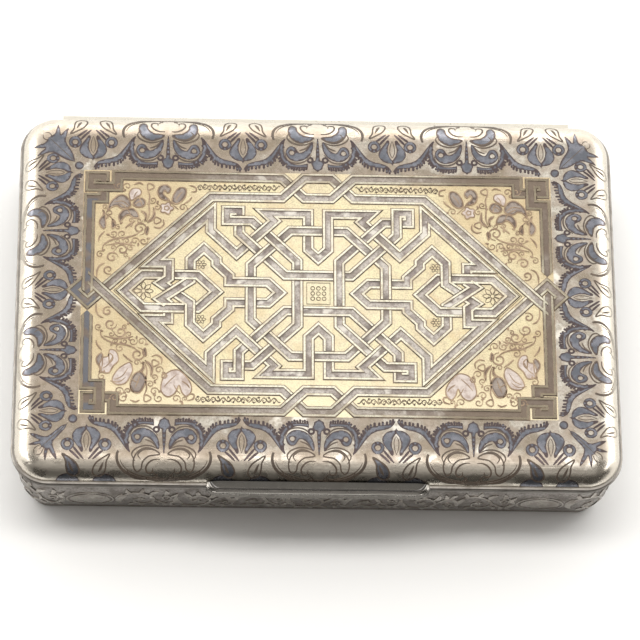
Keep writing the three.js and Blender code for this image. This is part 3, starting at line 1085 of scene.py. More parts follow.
fan_lines += [line(roundel_rings[0], 0.42, taper=0.8), line(roundel_rings[1], 0.24)]
fan_lines += [line(smooth(roundel_vee, steps=3), 0.3)]
fan_lines += [line(path, 0.26) for path in both_sides([inner_curl, roundel_scroll])]
lower_crescents = [fill(path) for path in both_sides([lower_crescent])]
lower_leaves = [line(path, 0.22, True) for path in both_sides([lower_crescent])]

# %% The corner leaf
def whole_leaf(half):
    """A leaf on the corner's diagonal, from the half of its outline that lies on one side."""
    return smooth(half, steps=3) + smooth([(b, a) for a, b in reversed(half)], steps=3)


broad_half = [(1.4, 1.4), (1.5, 2.0), (1.75, 2.8), (2.2, 3.6), (2.65, 4.3), (2.9, 5.1), (2.7, 6.2)]
broad_half += [(2.5, 7.3), (3.2, 6.6), (3.65, 6.0), (3.8, 6.9), (4.1, 8.0), (4.4, 6.9), (4.6, 6.1)]
broad_half += [(5.2, 5.7)]
slender_half = [(1.6, 1.6), (1.8, 2.2), (2.4, 3.0), (3.1, 3.8), (3.6, 4.5), (3.5, 5.3), (3.1, 6.3)]
slender_half += [(3.0, 7.1), (3.7, 6.4), (4.2, 5.6), (4.4, 6.3), (4.7, 7.3), (4.9, 6.3), (4.8, 5.5)]
slender_half += [(5.2, 5.3)]
corner_vein = [line(smooth([(1.4, 1.4), (2.6, 2.6), (4.2, 4.2), (5.6, 5.6)]), 0.12)]
corner_vein += [line(smooth([(4.9, 5.4), (5.4, 6.3), (6.1, 6.4)]), 0.13)]
corner_vein += [line(smooth([(5.4, 4.9), (6.3, 5.4), (6.4, 6.1)]), 0.13)]

# %% Stations round the panel
PANEL_X = 35.5
PANEL_Y = 20.05
PANEL_MIDDLE = -0.5  # the panel lies a little nearer the thumbpiece than the hinge
SHORT_WIDTH = 0.86
LONG_FANS = (-22.8, 0.0, 22.8)
LONG_BUDS = (-34.2, -11.4, 11.4, 34.2)
SHORT_FANS = (-9.8, 9.8)
SHORT_BUDS = (-19.6, 0.0, 19.6)
# Each side: the turn that points v outwards, its edge, its fans, its buds and their width
SIDES = (
    (0.0, (0, PANEL_MIDDLE + PANEL_Y), LONG_FANS, LONG_BUDS, 1.0),
    (math.pi, (0, PANEL_MIDDLE - PANEL_Y), LONG_FANS, LONG_BUDS, 1.0),
    (-math.pi / 2, (PANEL_X, PANEL_MIDDLE), SHORT_FANS, SHORT_BUDS, SHORT_WIDTH),
    (math.pi / 2, (-PANEL_X, PANEL_MIDDLE), SHORT_FANS, SHORT_BUDS, SHORT_WIDTH),
)
inlay_stations = []
line_stations = []
for turn, edge, fans, buds, width in SIDES:
    in_front = turn == math.pi

    def station(motif, place):
        """A motif at its place along this side."""
        spot = Vector(edge) + way_at(turn) * place
        return motif, spot.x, spot.y, turn, width

    for place in fans:
        inlay_stations.append(station("fan" if in_front else "fan_full", place))
        line_stations.append(station("fan", place))
    for place in buds:
        inlay_stations.append(station("bud_full" if in_front else "bud", place))
        line_stations.append(station("bud", place))
        if place != buds[-1]:
            inlay_stations.append(station("arch_right", place))
        if place != buds[0]:
            inlay_stations.append(station("arch_left", place))
for quarter, (side_x, side_y) in enumerate(((1, 1), (-1, 1), (-1, -1), (1, -1))):
    corner = (PANEL_X * side_x, PANEL_MIDDLE + PANEL_Y * side_y, quarter * math.pi / 2, 1.0)
    inlay_stations.append(("corner_broad" if side_y > 0 else "corner_slender", *corner))
    line_stations.append(("corner", *corner))
print(len(inlay_stations), "stations for niello and", len(line_stations), "for engraving")

# %% The niello and the engraving in the border
FAN_RISE = 0.006  # the fans' slabs are a little thicker, so their tops stay apart from the arches'
LINE_TOP = 0.026
bud_marks = [line(path, 0.24, True) for path in both_sides([drop_right])]
bud_marks += [fill(path) for path in both_sides([drop_heart])]
dark_drops = [fill(drop_right)] + [fill(path) for path in both_sides([rim_lobe])]
corner_dot = fill(ring((0.75, 0.75), 0.68))
inlay_motifs = {}
for name, shapes in (
    ("bud", bud_shapes),
    ("bud_full", bud_shapes + dark_drops),
    ("fan", fan_shapes),
    ("fan_full", fan_shapes + lower_crescents),
    ("arch_right", [fill(arch_right)]),
    ("arch_left", [fill(mirrored(arch_right))]),
    ("corner_broad", [fill(whole_leaf(broad_half)), corner_dot]),
    ("corner_slender", [fill(whole_leaf(slender_half)), corner_dot]),
):
    rise = FAN_RISE if name.startswith("fan") else 0.0
    inlay_motifs[name] = slab_mesh(name, shapes, INLAY_TOP + rise, INLAY_BOTTOM - rise)
line_motifs = {
    "bud": slab_mesh("bud_lines", bud_lines + bud_marks, LINE_TOP),
    "fan": slab_mesh("fan_lines", fan_lines + lower_leaves, LINE_TOP),
    "corner": slab_mesh("corner_lines", corner_vein, LINE_TOP),
}

# %% [markdown]
# ## Niello and engraving as materials
#
# Niello is a black sulphide that was melted into the hollows and scraped flush. With age it turns
# slate blue and a little lilac, and it stays darker and browner along the silver. The rim
# attribute gives that edge. Engraved lines hold dirt, so they are brown and rough.


# %% The niello and the dirt in engraved lines
def attribute(material, name):
    read = add_node(material.node_tree, "ShaderNodeAttribute", {"attribute_name": name})
    return Number(read.outputs["Fac"])


def new_niello(name, middle, rim_colour, pale):
    material = new_material(name)
    patina = use_group(material.node_tree, tarnish, Patch_Size=1.5, Amount=1.0)
    marks = use_group(material.node_tree, handling)
    colour = mix_colour(patina["Patches"], middle, pale)
    colour = mix_colour(patina["Specks"] * 0.7, colour, rim_colour)
    colour = mix_colour(remap(attribute(material, "rim"), 0.1, 0.8), colour, rim_colour)
    rough = remap(patina["Patches"], 0.0, 1.0, 0.34, 0.22)
    set_shader(material, colour, rough, 0.85, marks["Height"], 0.04 * MM)
    return material


SLATE = (0.125, 0.132, 0.152)
LILAC_BROWN = (0.088, 0.068, 0.068)
PALE_SLATE = (0.23, 0.232, 0.262)
WORN_END = (43.2, 44.8)
niello = new_niello("niello", SLATE, LILAC_BROWN, PALE_SLATE)
engraving_tones = ((0.09, 0.07, 0.055), (0.16, 0.12, 0.09), (0.03, 0.02, 0.02))
engraving = new_metal("engraving", *engraving_tones, 0.45, metallic=0.5)
# Its lines have worn away on the box's two ends
towards_end = maths("ABSOLUTE", position_part(engraving, "X"))
tinted(engraving, remap(towards_end, WORN_END[0] * MM, WORN_END[1] * MM, 0.0, 0.6), CLEAN_SILVER)
lay_motifs("border_niello", inlay_motifs, inlay_stations, niello)
lay_motifs("border_engraving", line_motifs, line_stations, engraving)

# %% [markdown]
# ## The gilt panel
#
# The panel's pattern is an interlace: closed straps that pass over and under each other by turns.
# Only the middle line of each strap is drawn. The script finds every crossing, walks along the
# straps to decide which one passes over, and builds each strap as one closed moulding with a dark
# band between two bright fillets. Where a strap passes under, its moulding sinks out of sight.

# %% The middle lines of the straps
# Each is drawn as a quarter, from the upright axis to the level one, and mirrored both ways
STRAP_HALF = 0.92
PANEL_SCALE = 40.1 / 41  # the drawing's height against the panel's
SINK = 0.22


frame_quarter = [(-2.05, 16.2), (-5.45, 19.6), (-30.4, 19.7), (-30.4, 17.65), (-34.4, 17.65), (-34.4, 19.4)]
frame_quarter += [(-32.5, 19.4), (-32.5, 15.65), (-34.55, 15.65)]
hexagon_quarter = [(-2.05, 19.65), (-5.45, 16.2), (-16.2, 16.2), (-34.5, -2.1), (-36.6, 0.0)]
knot_quarter = [(0, 5.9), (-1.5, 7.4), (-1.5, 13.5), (-7.85, 13.5), (-6.6, 12.2), (-12.3, 6.5)]
knot_quarter += [(-16.2, 10.4), (-16.2, 13.45), (-24.95, 4.7), (-22.45, 4.7), (-22.45, 2.2), (-23.6, 1.35)]
knot_quarter += [(-19.2, -1.9), (-19.2, -5.4), (-17.2, -7.4), (-15.3, -5.5), (-15.3, -4.7), (-13.35, -2.75)]
knot_quarter += [(-13.35, -1.75), (-7.55, -1.75), (-5.8, 0)]
cross_quarter = [(-4.95, 3.0), (-11.9, 9.95), (-11.9, 13.85), (-13.8, 13.85), (-13.8, 12.15)]
cross_quarter += [(-9.95, 12.15), (-3.15, 5.35)]
middle_quarter = [(-4.2, 10.55), (-10.15, 4.6)]


def with_mirror(half):
    """A path, closed by its mirror image across the upright axis."""
    return half + [(-x, y) for x, y in reversed(half) if x]


def down_and_up(quarter):
    """A quarter of a path, carried on by its mirror image across the level axis."""
    return quarter + [(x, -y) for x, y in reversed(quarter) if y]


straps = {
    "frame": with_mirror(down_and_up(frame_quarter)),
    "hexagon": with_mirror(down_and_up(hexagon_quarter)),
    "knot": with_mirror(down_and_up(knot_quarter)),
    "cross": with_mirror(down_and_up(cross_quarter)),
    "middle": with_mirror(down_and_up(middle_quarter)),
}
for side, name in ((1, "loop_left"), (-1, "loop_right")):
    loop = down_and_up([(-29.1, 0), (-26.3, 2.8), (-18.1, 2.8), (-15.3, 0)])
    straps[name] = [(x * side, y) for x, y in loop][::side]
for name, path in straps.items():
    straps[name] = [Vector((x, PANEL_MIDDLE + y * PANEL_SCALE)) for x, y in path]
print("Straps:", {name: len(path) for name, path in straps.items()})


# %% Find the crossings, and decide which strap passes over
LEAST_SLANT = 1e-9
RUN_END = 0.001  # straps that meet nearer to a run's end than this share of it don't cross there


def cross(a, b):
    return a.x * b.y - a.y * b.x


def find_crossings(straps):
    """The points where straps cross, and each strap's passes in order, as (place on the strap,
    number of the crossing, 0 or 1 for the first or second strap there)."""
    runs = []
    for name, path in straps.items():
        runs += [(name, step, spot, path[(step + 1) % len(path)]) for step, spot in enumerate(path)]
    crossings = []
    passes = {name: [] for name in straps}
    for index, (name, step, start, end) in enumerate(runs):
        for other, other_step, other_start, other_end in runs[index + 1 :]:
            count = len(straps[name])
            if name == other and (other_step - step) % count in (1, count - 1):
                continue
            along, other_along = end - start, other_end - other_start
            slant = cross(along, other_along)
            if abs(slant) < LEAST_SLANT:
                continue
            here = cross(other_start - start, other_along) / slant
            there = cross(other_start - start, along) / slant
            if RUN_END < min(here, there) and max(here, there) < 1 - RUN_END:
                number = len(crossings)
                crossings.append(start + along * here)
                passes[name].append((step + here, number, 0))
                passes[other].append((other_step + there, number, 1))
    for name in passes:
        passes[name].sort()
    return crossings, passes


def weave(crossings, passes):
    """For each crossing, whether its first strap passes over."""
    links = {number: [] for number in range(len(crossings))}
    for strap_passes in passes.values():
        for index, (_, number, place) in enumerate(strap_passes):
            _, after, after_place = strap_passes[(index + 1) % len(strap_passes)]
            flips = place == after_place
            links[number].append((after, flips))
            links[after].append((number, flips))
    first_over = {}
    for root in links:
        if root in first_over:
            continue
        first_over[root] = False
        waiting = [root]
        while waiting:
            number = waiting.pop()
            for after, flips in links[number]:
                if after not in first_over:
                    first_over[after] = first_over[number] != flips
                    waiting.append(after)
    return first_over


crossings, passes = find_crossings(straps)
first_over = weave(crossings, passes)
print(len(crossings), "crossings;", {name: len(found) for name, found in passes.items()})

# %% The section of the straps' moulding
# The section: offset from the middle line, height, and the material up to the next
STRAP_SECTION = (
    (-0.92, -0.02, 1),
    (-0.75, 0.09, 0),
    (-0.46, 0.11, 1),
    (-0.37, 0.02, 2),
    (0.0, 0.03, 2),
    (0.37, 0.02, 1),
    (0.46, 0.11, 0),
    (0.75, 0.09, 1),
    (0.92, -0.02, 1),
)
STRAP_UNDERSIDE = -0.12
BAND_EDGE = 0.4
CORNER_EASE = 0.03
# The side of each band whose wall gets painted shade, and how dark that shade is
SHADED_WALL_SIDE = Vector((-0.55, 0.83))
WALL_SHADE = 0.9
PANEL_GROUND = 0.04
SHADE_LENGTH = 1.3
CORNER_SHARE = 0.05  # a crossing within this share of a run's end lies on the corner itself
# The whole way round the section, with its underside
strap_outline = [(offset, height) for offset, height, _ in STRAP_SECTION]
strap_outline += [(STRAP_SECTION[-1][0], STRAP_UNDERSIDE), (STRAP_SECTION[0][0], STRAP_UNDERSIDE)]
strap_strips = [strip for _, _, strip in STRAP_SECTION] + [1, 1]


def section_at(spots, sink=0.0):
    """The section's points over their spots on the plan."""
    ground = LID_TOP + PANEL_GROUND
    return [(*spot, ground + (height - sink)) for spot, (_, height) in zip(spots, strap_outline)]


def sunk_rows(starts, ends, along, point, uppers, reached):
    """Six rows of spots that take a strap down, under the upper ones and up again."""
    rows = []
    for index, start in enumerate(starts):
        length = (ends[index] - start).dot(along)
        lows, highs = [], []
        for upper in uppers:
            slant = cross(along, upper)
            middle = -cross(start - point, upper) / slant
            lows.append(middle - abs(STRAP_HALF / slant))
            highs.append(middle + abs(STRAP_HALF / slant))
        low = min(max(min(lows), reached[index]), length)
        high = min(max(max(highs), low), length)
        before = max(low - SHADE_LENGTH, (reached[index] + low) / 2)
        after = min(high + SHADE_LENGTH, (high + length) / 2)
        reached[index] = after
        rows.append([start + along * spot for spot in (before, low, low, high, high, after)])
    return zip(*rows)


# %% Carry the section along a strap
def strap_mesh(name, path, sunk):
    """sunk: for each step of the path, its under-crossings as (point, directions of the upper)."""
    count = len(path)
    alongs = [(path[(step + 1) % count] - path[step]).normalized() for step in range(count)]
    stations = []  # a section's points, how shaded it is, and its strap's direction

    def mitre(corner):
        """The section's spots on the line that halves the strap's turn at a corner."""
        before, after = left_of(alongs[corner - 1]), left_of(alongs[corner % count])
        turn = 1 + before.dot(after)
        return [path[corner % count] + (before + after) * offset / turn for offset, _ in strap_outline]

    for step, along in enumerate(alongs):
        starts, ends = mitre(step), mitre(step + 1)
        stations.append((section_at([spot + along * CORNER_EASE for spot in starts]), 0.0, along))
        reached = [0.0] * len(starts)
        for point, uppers in sunk[step]:
            # Where the strap passes under another, its band gets painted shade, which fades out over
            # SHADE_LENGTH on each side
            depths = ((0.0, 0.0), (0.0, 1.0), (SINK, 1.0), (SINK, 1.0), (0.0, 1.0), (0.0, 0.0))
            for spots, (sink, shade) in zip(sunk_rows(starts, ends, along, point, uppers, reached), depths):
                stations.append((section_at(spots, sink), shade, along))
        stations.append((section_at([spot - along * CORNER_EASE for spot in ends]), 0.0, along))
    rings = [section for section, _, _ in stations]
    faces = []
    for face, _ in ring_faces(rings, closed=True):
        here, beside, beside_after, after = face
        faces.append((here, after, beside_after, beside))
    indices = strap_strips * len(stations)
    strap = new_piece(name, sum(rings, []), faces, STRAP_FINISHES, indices, math.radians(20))
    shades = []
    for _, shade, along in stations:
        lean = left_of(along).dot(SHADED_WALL_SIDE)
        # Painted shade darkens the band along its upper left wall, as if the raised fillet shaded it
        leaning = [max(0.0, lean * offset / BAND_EDGE) * WALL_SHADE for offset, _ in strap_outline]
        shades += [max(shade, dark) for dark in leaning]
    strap.data.attributes.new("shade", "FLOAT", "POINT").data.foreach_set("value", shades)
    return strap


def uppers_at(number, place):
    """The upper strap's direction at a crossing, and its neighbour's where it turns there."""
    for name, strap_passes in passes.items():
        for position, found, found_place in strap_passes:
            if (found, found_place) == (number, place):
                path = straps[name]
                count = len(path)
                step = int(position)
                steps = [step]
                if position - step < CORNER_SHARE:
                    steps.append((step - 1) % count)
                if position - step > 1 - CORNER_SHARE:
                    steps.append((step + 1) % count)
                return [(path[(step + 1) % count] - path[step]).normalized() for step in steps]
    return []


# %% The straps in their metals
line_tones = ((0.1, 0.075, 0.055), (0.27, 0.21, 0.15), (0.06, 0.045, 0.03))
band_tones = ((0.58, 0.53, 0.48), (0.24, 0.2, 0.185), (0.12, 0.09, 0.08))
fillet_tones = ((0.9, 0.86, 0.7), (0.78, 0.71, 0.57), (0.4, 0.3, 0.2))
strap_line = new_metal("strap_line", *line_tones, 0.4, 1.6, 1.0, metallic=0.7)
strap_band = new_metal("strap_band", *band_tones, 0.34, 4.0, 1.0, metallic=0.85, grain=(0.3, 0.4, 0.01))
# The shade attribute paints shade into the band: along one wall, and where it passes under another strap
tinted(strap_band, attribute(strap_band, "shade") * 0.75, (0.09, 0.07, 0.06))
fillet_gilt = new_metal("fillet_gilt", *fillet_tones, 0.22, 2.5, 0.9, grain=(0.35, 0.3, 0.006))
STRAP_FINISHES = [fillet_gilt, strap_line, strap_band]
for name, path in straps.items():
    sunk = [[] for _ in path]
    for position, number, place in passes[name]:
        if first_over[number] != (place == 0):
            sunk[int(position)].append((crossings[number], uppers_at(number, 1 - place)))
    dress(strap_mesh("strap_" + name, path, sunk), "lid")
print("Straps made:", len(straps))

# %% The panel's ground
matting_tones = ((0.75, 0.67, 0.44), (0.63, 0.54, 0.38), (0.36, 0.26, 0.15))
matting = new_metal("matting", *matting_tones, 0.34, 2.5, 0.9, grain=(0.22, 0.35, 0.012))
ground_points = [(PANEL_X * x, PANEL_MIDDLE + PANEL_Y * y) for x, y in ((-1, -1), (1, -1), (1, 1), (-1, 1))]
ground_shape = (ground_points, [(0, 1, 2, 3)], [0.0] * 4)
ground_mesh = slab_mesh("panel_ground", [ground_shape], LID_TOP + 0.02, LID_TOP - 0.1)
ground_mesh.materials.append(matting)
panel_ground = bpy.data.objects.new("panel_ground", ground_mesh)
scene.collection.objects.link(panel_ground)
dress(panel_ground, "lid")


# %% Wear and dirt on the panel
HEXAGON_REACH = 32.4
CLEAN_SPOT_X = 1.4
RUBBED_MIDDLE = (18.0, 32.0)


def dirtier_outwards(material, tint, share):
    """Mixes a tint into a metal's colour, more so the further it lies from the panel's middle."""
    spot = spot_on(material.node_tree)
    x, y, _ = parts_of(spot)
    sideways = maths("ABSOLUTE", x - CLEAN_SPOT_X * MM) * (1 / (HEXAGON_REACH * MM))
    deep = maths("ABSOLUTE", y - PANEL_MIDDLE * MM) * (0.9 / (HEXAGON_REACH * MM))
    reach = sideways + deep + noise(spot, 160.0, 4.0) * 0.5
    tinted(material, remap(reach, 1.06, 1.5) * share, tint)


def paler_inwards(material, tint, share):
    """Mixes a tint into a metal's colour round the panel's middle, where hands have rubbed it."""
    spot = spot_on(material.node_tree)
    length = add_node(material.node_tree, "ShaderNodeVectorMath", {"operation": "LENGTH"}, {0: spot})
    away = Number(length.outputs["Value"]) + noise(spot, 140.0, 3.0) * (12.0 * MM)
    inner, outer = RUBBED_MIDDLE
    tinted(material, remap(away, inner * MM, outer * MM, share, 0.0), tint)


for metal, (scale, low, high, share), tint in (
    (matting, (330.0, 0.5, 0.66, 0.45), (0.6, 0.46, 0.27)),
    (strap_band, (430.0, 0.5, 0.64, 0.6), (0.2, 0.165, 0.135)),
    (strap_band, (260.0, 0.56, 0.66, 0.7), (0.78, 0.74, 0.67)),
    (fillet_gilt, (380.0, 0.52, 0.64, 0.6), (0.5, 0.42, 0.3)),
):
    tinted(metal, patches_of(metal, scale, low, high, share), tint)
paler_inwards(matting, (0.9, 0.845, 0.68), 0.4)
paler_inwards(fillet_gilt, (0.98, 0.96, 0.88), 0.5)
paler_inwards(strap_band, (0.66, 0.62, 0.56), 0.12)
dirtier_outwards(matting, (0.46, 0.35, 0.21), 0.64)
tinted(matting, along(matting, "Y", -22.0, -9.0, 0.6, 0.0), (0.88, 0.8, 0.58))
dirtier_outwards(fillet_gilt, (0.22, 0.18, 0.125), 0.9)
dirtier_outwards(strap_band, (0.155, 0.118, 0.092), 0.92)
# The frame's front and rear sides have caught more of the dirt
for metal in (strap_band, fillet_gilt):
    from_middle = maths("ABSOLUTE", position_part(metal, "Y") - PANEL_MIDDLE * MM)
    in_frame = remap(from_middle, (PANEL_Y - 2.4) * MM, (PANEL_Y - 1.9) * MM, 0.0, 0.36)
    tinted(metal, in_frame, (0.2, 0.16, 0.12))
# Some niello is left in the frame's left side, below its upper key
left_side = along(strap_band, "X", -33.6, -33.0, 1.0, 0.0) * along(strap_band, "Y", 14.5, 15.0, 1.0, 0.0)
tinted(strap_band, left_side * patches_of(strap_band, 75.0, 0.45, 0.48, 0.85), SLATE)

# %% [markdown]
# ## Flowers and vines in the panel
#
# The corners that the hexagon leaves free are filled with flowers on stems, and the strips above
# and below it with a running vine. The real ones are chased, with niello on some petals. They
# are drawn flat with the same outlines and lines as the border and laid on the panel's ground.
# One rear corner and one front corner are drawn. Each has a mirror image on its other side.


# %% Petals, spirals and blossoms
def petal(root, tip, width, bend=0.0, steps=7):
    """A leaf shape from its root to its tip, with a sideways bend as a share of its length."""
    root, tip = Vector(root), Vector(tip)
    along = tip - root
    side = left_of(along).normalized()
    one_side, other_side = [], []
    for share in shares(steps):
        spot = root + along * share + side * along.length * bend * math.sin(share * math.pi)
        half = width / 2 * math.sin(math.pi * share**0.8) ** 0.7 if 0 < share < 1 else 0.0
        one_side.append(spot + side * half)
        if 0 < share < 1:
            other_side.append(spot - side * half)
    return one_side + other_side[::-1]


def spiral(middle, radius, turns, start=0.0, direction=1, steps=22):
    """A spiral that winds inwards, as far as a fifth of its radius."""
    points = []
    for share in shares(steps):
        angle = start + direction * turns * math.tau * share
        points.append(at_angle(middle, angle, radius * (1 - 0.8 * share)))
    return points


def blossom(middle, radius, petals, depth=0.25, steps=6):
    """A round outline with as many lobes as petals."""
    points = []
    for step in range(petals * steps):
        angle = math.tau * step / (petals * steps)
        reach = radius * (1 - depth * (0.5 - 0.5 * math.cos(petals * angle)))
        points.append(at_angle(middle, angle, reach))
    return points


def whirl(middle, inner, outer, petals, width):
    """Petals round a middle, as outlines."""
    made = []
    for number in range(petals):
        way = way_at(math.tau * number / petals)
        made.append(petal(Vector(middle) + way * inner, Vector(middle) + way * outer, width))
    return made


# %% One corner of the panel, with x to the right and y down from its corner
FLOWER_GRID = 0.5
lily_petals = [
    petal((3.2, 10.1), (3.3, 7.6), 0.95, -0.12),
    petal((4.5, 10.0), (4.5, 8.4), 0.6, 0.1),
    petal((3.0, 7.9), (2.9, 6.8), 0.22, 0.2),
    petal((9.8, 9.6), (9.7, 11.0), 0.55, 0.1),
    petal((9.7, 8.9), (10.6, 6.3), 0.36, 0.2),
    petal((8.7, 6.9), (9.4, 8.5), 0.3, -0.25),
]
rear_petals = [
    [(7.2, 5.9), (6.6, 4.6), (5.6, 4.2), (4.6, 4.9), (3.9, 5.9), (3.8, 6.8), (4.4, 6.3), (5.1, 6.1)]
    + [(5.7, 6.5), (6.5, 6.5)],
    [(7.5, 5.8), (8.0, 4.9), (8.9, 4.7), (9.4, 5.4), (9.1, 6.1), (8.2, 6.3)],
    [(6.9, 6.6), (6.0, 6.9), (5.4, 7.8), (5.6, 8.8), (6.2, 8.0), (6.9, 7.6), (7.6, 8.1), (8.4, 8.1)]
    + [(8.2, 7.2), (7.6, 6.6)],
    [(13.0, 5.0), (11.8, 4.8), (11.2, 3.7), (11.6, 2.6), (12.6, 2.4), (13.2, 3.1), (12.8, 3.8), (12.3, 3.4)]
    + [(12.1, 4.0)],
    [(13.7, 3.9), (14.4, 2.9), (15.4, 2.9), (15.5, 4.0), (15.0, 5.0), (14.1, 5.6), (13.4, 5.2)],
]
front_petals = [[(7.8, 3.9), (7.6, 5.3), (8.2, 6.7), (9.2, 7.0), (9.9, 5.9), (9.6, 4.6), (8.9, 3.6)]]
rear_bloom = [(7.2, 5.1), (6.9, 3.9), (7.5, 3.1), (8.5, 3.2), (8.7, 4.0), (8.0, 4.6)]
front_blooms = [
    [(12.1, 4.2), (12.4, 5.9), (13.3, 7.1), (14.6, 7.4), (15.6, 6.6), (16.5, 5.2), (16.6, 3.9), (15.9, 3.1)]
    + [(15.2, 3.8), (14.8, 4.9), (14.2, 3.6), (13.3, 3.0), (12.6, 3.3)],
    [(4.9, 5.7), (5.6, 4.9), (6.8, 5.1), (7.5, 6.1), (7.9, 7.4), (7.5, 8.5), (6.6, 8.1), (5.6, 7.2)],
    [(3.0, 8.0), (3.3, 7.0), (4.4, 6.8), (5.0, 7.9), (5.8, 8.9), (5.4, 10.3), (4.5, 10.6), (4.2, 9.5)]
    + [(3.4, 9.2)],
]
rear_petals = [smooth(outline, True) for outline in rear_petals]
front_petals = [smooth(outline, True) for outline in front_petals]
rear_blooms = [smooth(rear_bloom, True), blossom((12.6, 6.4), 1.05, 5, 0.3)]
front_blooms = [smooth(outline, True) for outline in front_blooms]
vein_points = [
    [(6.9, 6.1), (5.9, 5.3), (4.6, 5.5)],
    [(7.7, 5.9), (8.3, 5.4), (8.9, 5.3)],
    [(14.0, 5.0), (14.4, 4.2), (15.0, 3.5)],
    [(12.6, 4.6), (13.4, 5.6), (14.4, 6.6)],
    [(5.3, 5.7), (6.4, 6.3), (7.2, 7.6)],
    [(3.5, 7.5), (4.3, 8.2), (5.0, 9.7)],
    [(8.3, 4.3), (8.7, 5.4), (9.0, 6.4)],
    [(7.6, 4.8), (7.8, 4.1), (8.2, 3.6)],
]
petal_veins = [smooth(path) for path in vein_points]
rear_petals += lily_petals
front_petals += lily_petals

# %% The stems and small buds of one corner
corner_buds = [
    blossom((10.1, 2.7), 0.6, 3),
    blossom((11.2, 8.5), 0.6, 3),
    blossom((12.6, 6.4), 0.4, 5),
]
corner_curls = [
    smooth([(3.0, 13.9), (3.3, 12.7), (5.0, 11.7), (6.6, 11.5), (8.0, 11.0), (8.9, 10.2)]),
    smooth([(3.5, 12.9), (5.4, 12.5), (7.2, 12.7), (7.9, 12.9)]),
    spiral((8.6, 9.9), 1.15, 1.5, math.pi / 2, -1),
    spiral((6.0, 13.6), 0.95, 1.3, math.pi, 1),
    spiral((4.5, 14.9), 0.95, 1.3, 0.0, -1),
    spiral((4.0, 17.0), 0.8, 1.2, 1.0, 1),
    smooth([(2.3, 18.4), (2.3, 17.2), (2.7, 16.3), (3.4, 15.9)]),
    smooth([(2.4, 12.2), (2.6, 11.4), (3.3, 10.5)]),
    smooth([(9.6, 8.7), (10.0, 7.4), (9.9, 5.6), (10.0, 4.2), (9.6, 3.1)]),
    smooth([(7.6, 2.4), (8.4, 2.1), (9.0, 2.4)]),
    smooth([(16.0, 2.4), (16.9, 2.7), (17.0, 3.4), (16.3, 3.5)]),
    smooth([(15.2, 5.6), (16.0, 5.0), (16.4, 4.4)]),
    smooth([(10.7, 9.6), (11.5, 9.8), (12.2, 9.2), (12.1, 8.3)]),
    smooth([(6.4, 9.9), (7.1, 9.2), (7.9, 8.6)]),
]

# %% Small curls fill what the flowers leave free between the frame and the hexagon
CURL_FROM = 2.7
CURL_PITCH = 1.3
CURL_ROWS = 12
DIAGONAL = 21.3  # the hexagon's edge, as x and y added together, less room for a curl
CURL_FREE = 0.42
CURL_RADIUS = 0.7
KEY_SIZE = 5.2


def curls_between(blooms):
    """Spirals and small leaves in the corner, clear of the blooms, the stems and the frame's key."""
    points = [Vector(point) for path in blooms + corner_buds + corner_curls for point in path]
    curls, leaves = [], []
    for row in range(CURL_ROWS):
        for column in range(CURL_ROWS):
            x = CURL_FROM + CURL_PITCH * (column + 0.5 * (row % 2))
            middle = Vector((x, CURL_FROM + CURL_PITCH * 0.9 * row))
            free = min((middle - point).length for point in points)
            covered = any(inside(middle, [path]) for path in blooms) or max(middle) < KEY_SIZE
            if middle.x + middle.y < DIAGONAL and free > CURL_FREE and not covered:
                start = 2.4 * (row + 2 * column)
                direction = 1 if (row + column) % 2 else -1
                curls.append(spiral(middle, min(free, CURL_RADIUS), 1.25, start, direction, 14))
                way = way_at(start)
                leaves.append(petal(middle + way * 0.6, middle + way * 1.05 + left_of(way) * 0.35, 0.32))
    return curls, leaves


# %% Turn a corner's drawing into motifs
FLOWER_TOP = 0.07
FLOWER_BOTTOM = -0.02


def from_corner(path):
    """Turns x right and y down into u across and v up, and keeps an outline anticlockwise."""
    return [Vector((point[0], -point[1] * PANEL_SCALE)) for point in reversed(path)]


def flipped(shapes, flip):
    """The mirror images of shapes. flip takes a point to its mirror image."""
    images = []
    for points, faces, near in shapes:
        images.append(([flip(point) for point in points], [tuple(reversed(face)) for face in faces], near))
    return images


def with_twin(name, shapes, top):
    """A motif and its mirror image, by name."""
    twin = flipped(shapes, lambda point: Vector((-point[0], point[1])))
    return {
        name + "_left": slab_mesh(name, shapes, top, FLOWER_BOTTOM),
        name + "_right": slab_mesh(name, twin, top, FLOWER_BOTTOM),
    }


# %% Lay the flowers in the corners
def filled(paths):
    return [fill(from_corner(path), grid=FLOWER_GRID) for path in paths]


def chased(paths, width, closed=False, taper=0.35):
    return [line(from_corner(path), width, closed, taper) for path in paths]


def curl_lines(blooms):
    """Everything chased as a line in one corner: outlines, veins, stems and the curls between."""
    curls, leaves = curls_between(blooms)
    shapes = chased(blooms + corner_buds, 0.2, closed=True)
    shapes += chased(corner_curls, 0.24) + chased(curls + petal_veins, 0.16)
    return shapes + [fill(from_corner(path), grid=1.0) for path in leaves]


def lay_in_corners(name, rear, front, rise, material, single=None, places=()):
    """Lays one drawing in both rear corners and another in both front corners.
    A single drawing may lie on the panel's middle line too, at its places."""
    top = FLOWER_TOP + rise
    motifs = with_twin("rear", rear, top) | with_twin("front", front, top)
    stations = [
        ("rear_left", -PANEL_X, PANEL_MIDDLE + PANEL_Y, 0.0, 1.0),
        ("rear_right", PANEL_X, PANEL_MIDDLE + PANEL_Y, 0.0, 1.0),
        ("front_left", PANEL_X, PANEL_MIDDLE - PANEL_Y, math.pi, 1.0),
        ("front_right", -PANEL_X, PANEL_MIDDLE - PANEL_Y, math.pi, 1.0),
    ]
    if single:
        motifs["single"] = slab_mesh("single", single, top, FLOWER_BOTTOM)
        stations += [("single", x, PANEL_MIDDLE, 0.0, 1.0) for x in places]
    lay_motifs(name, motifs, stations, material)


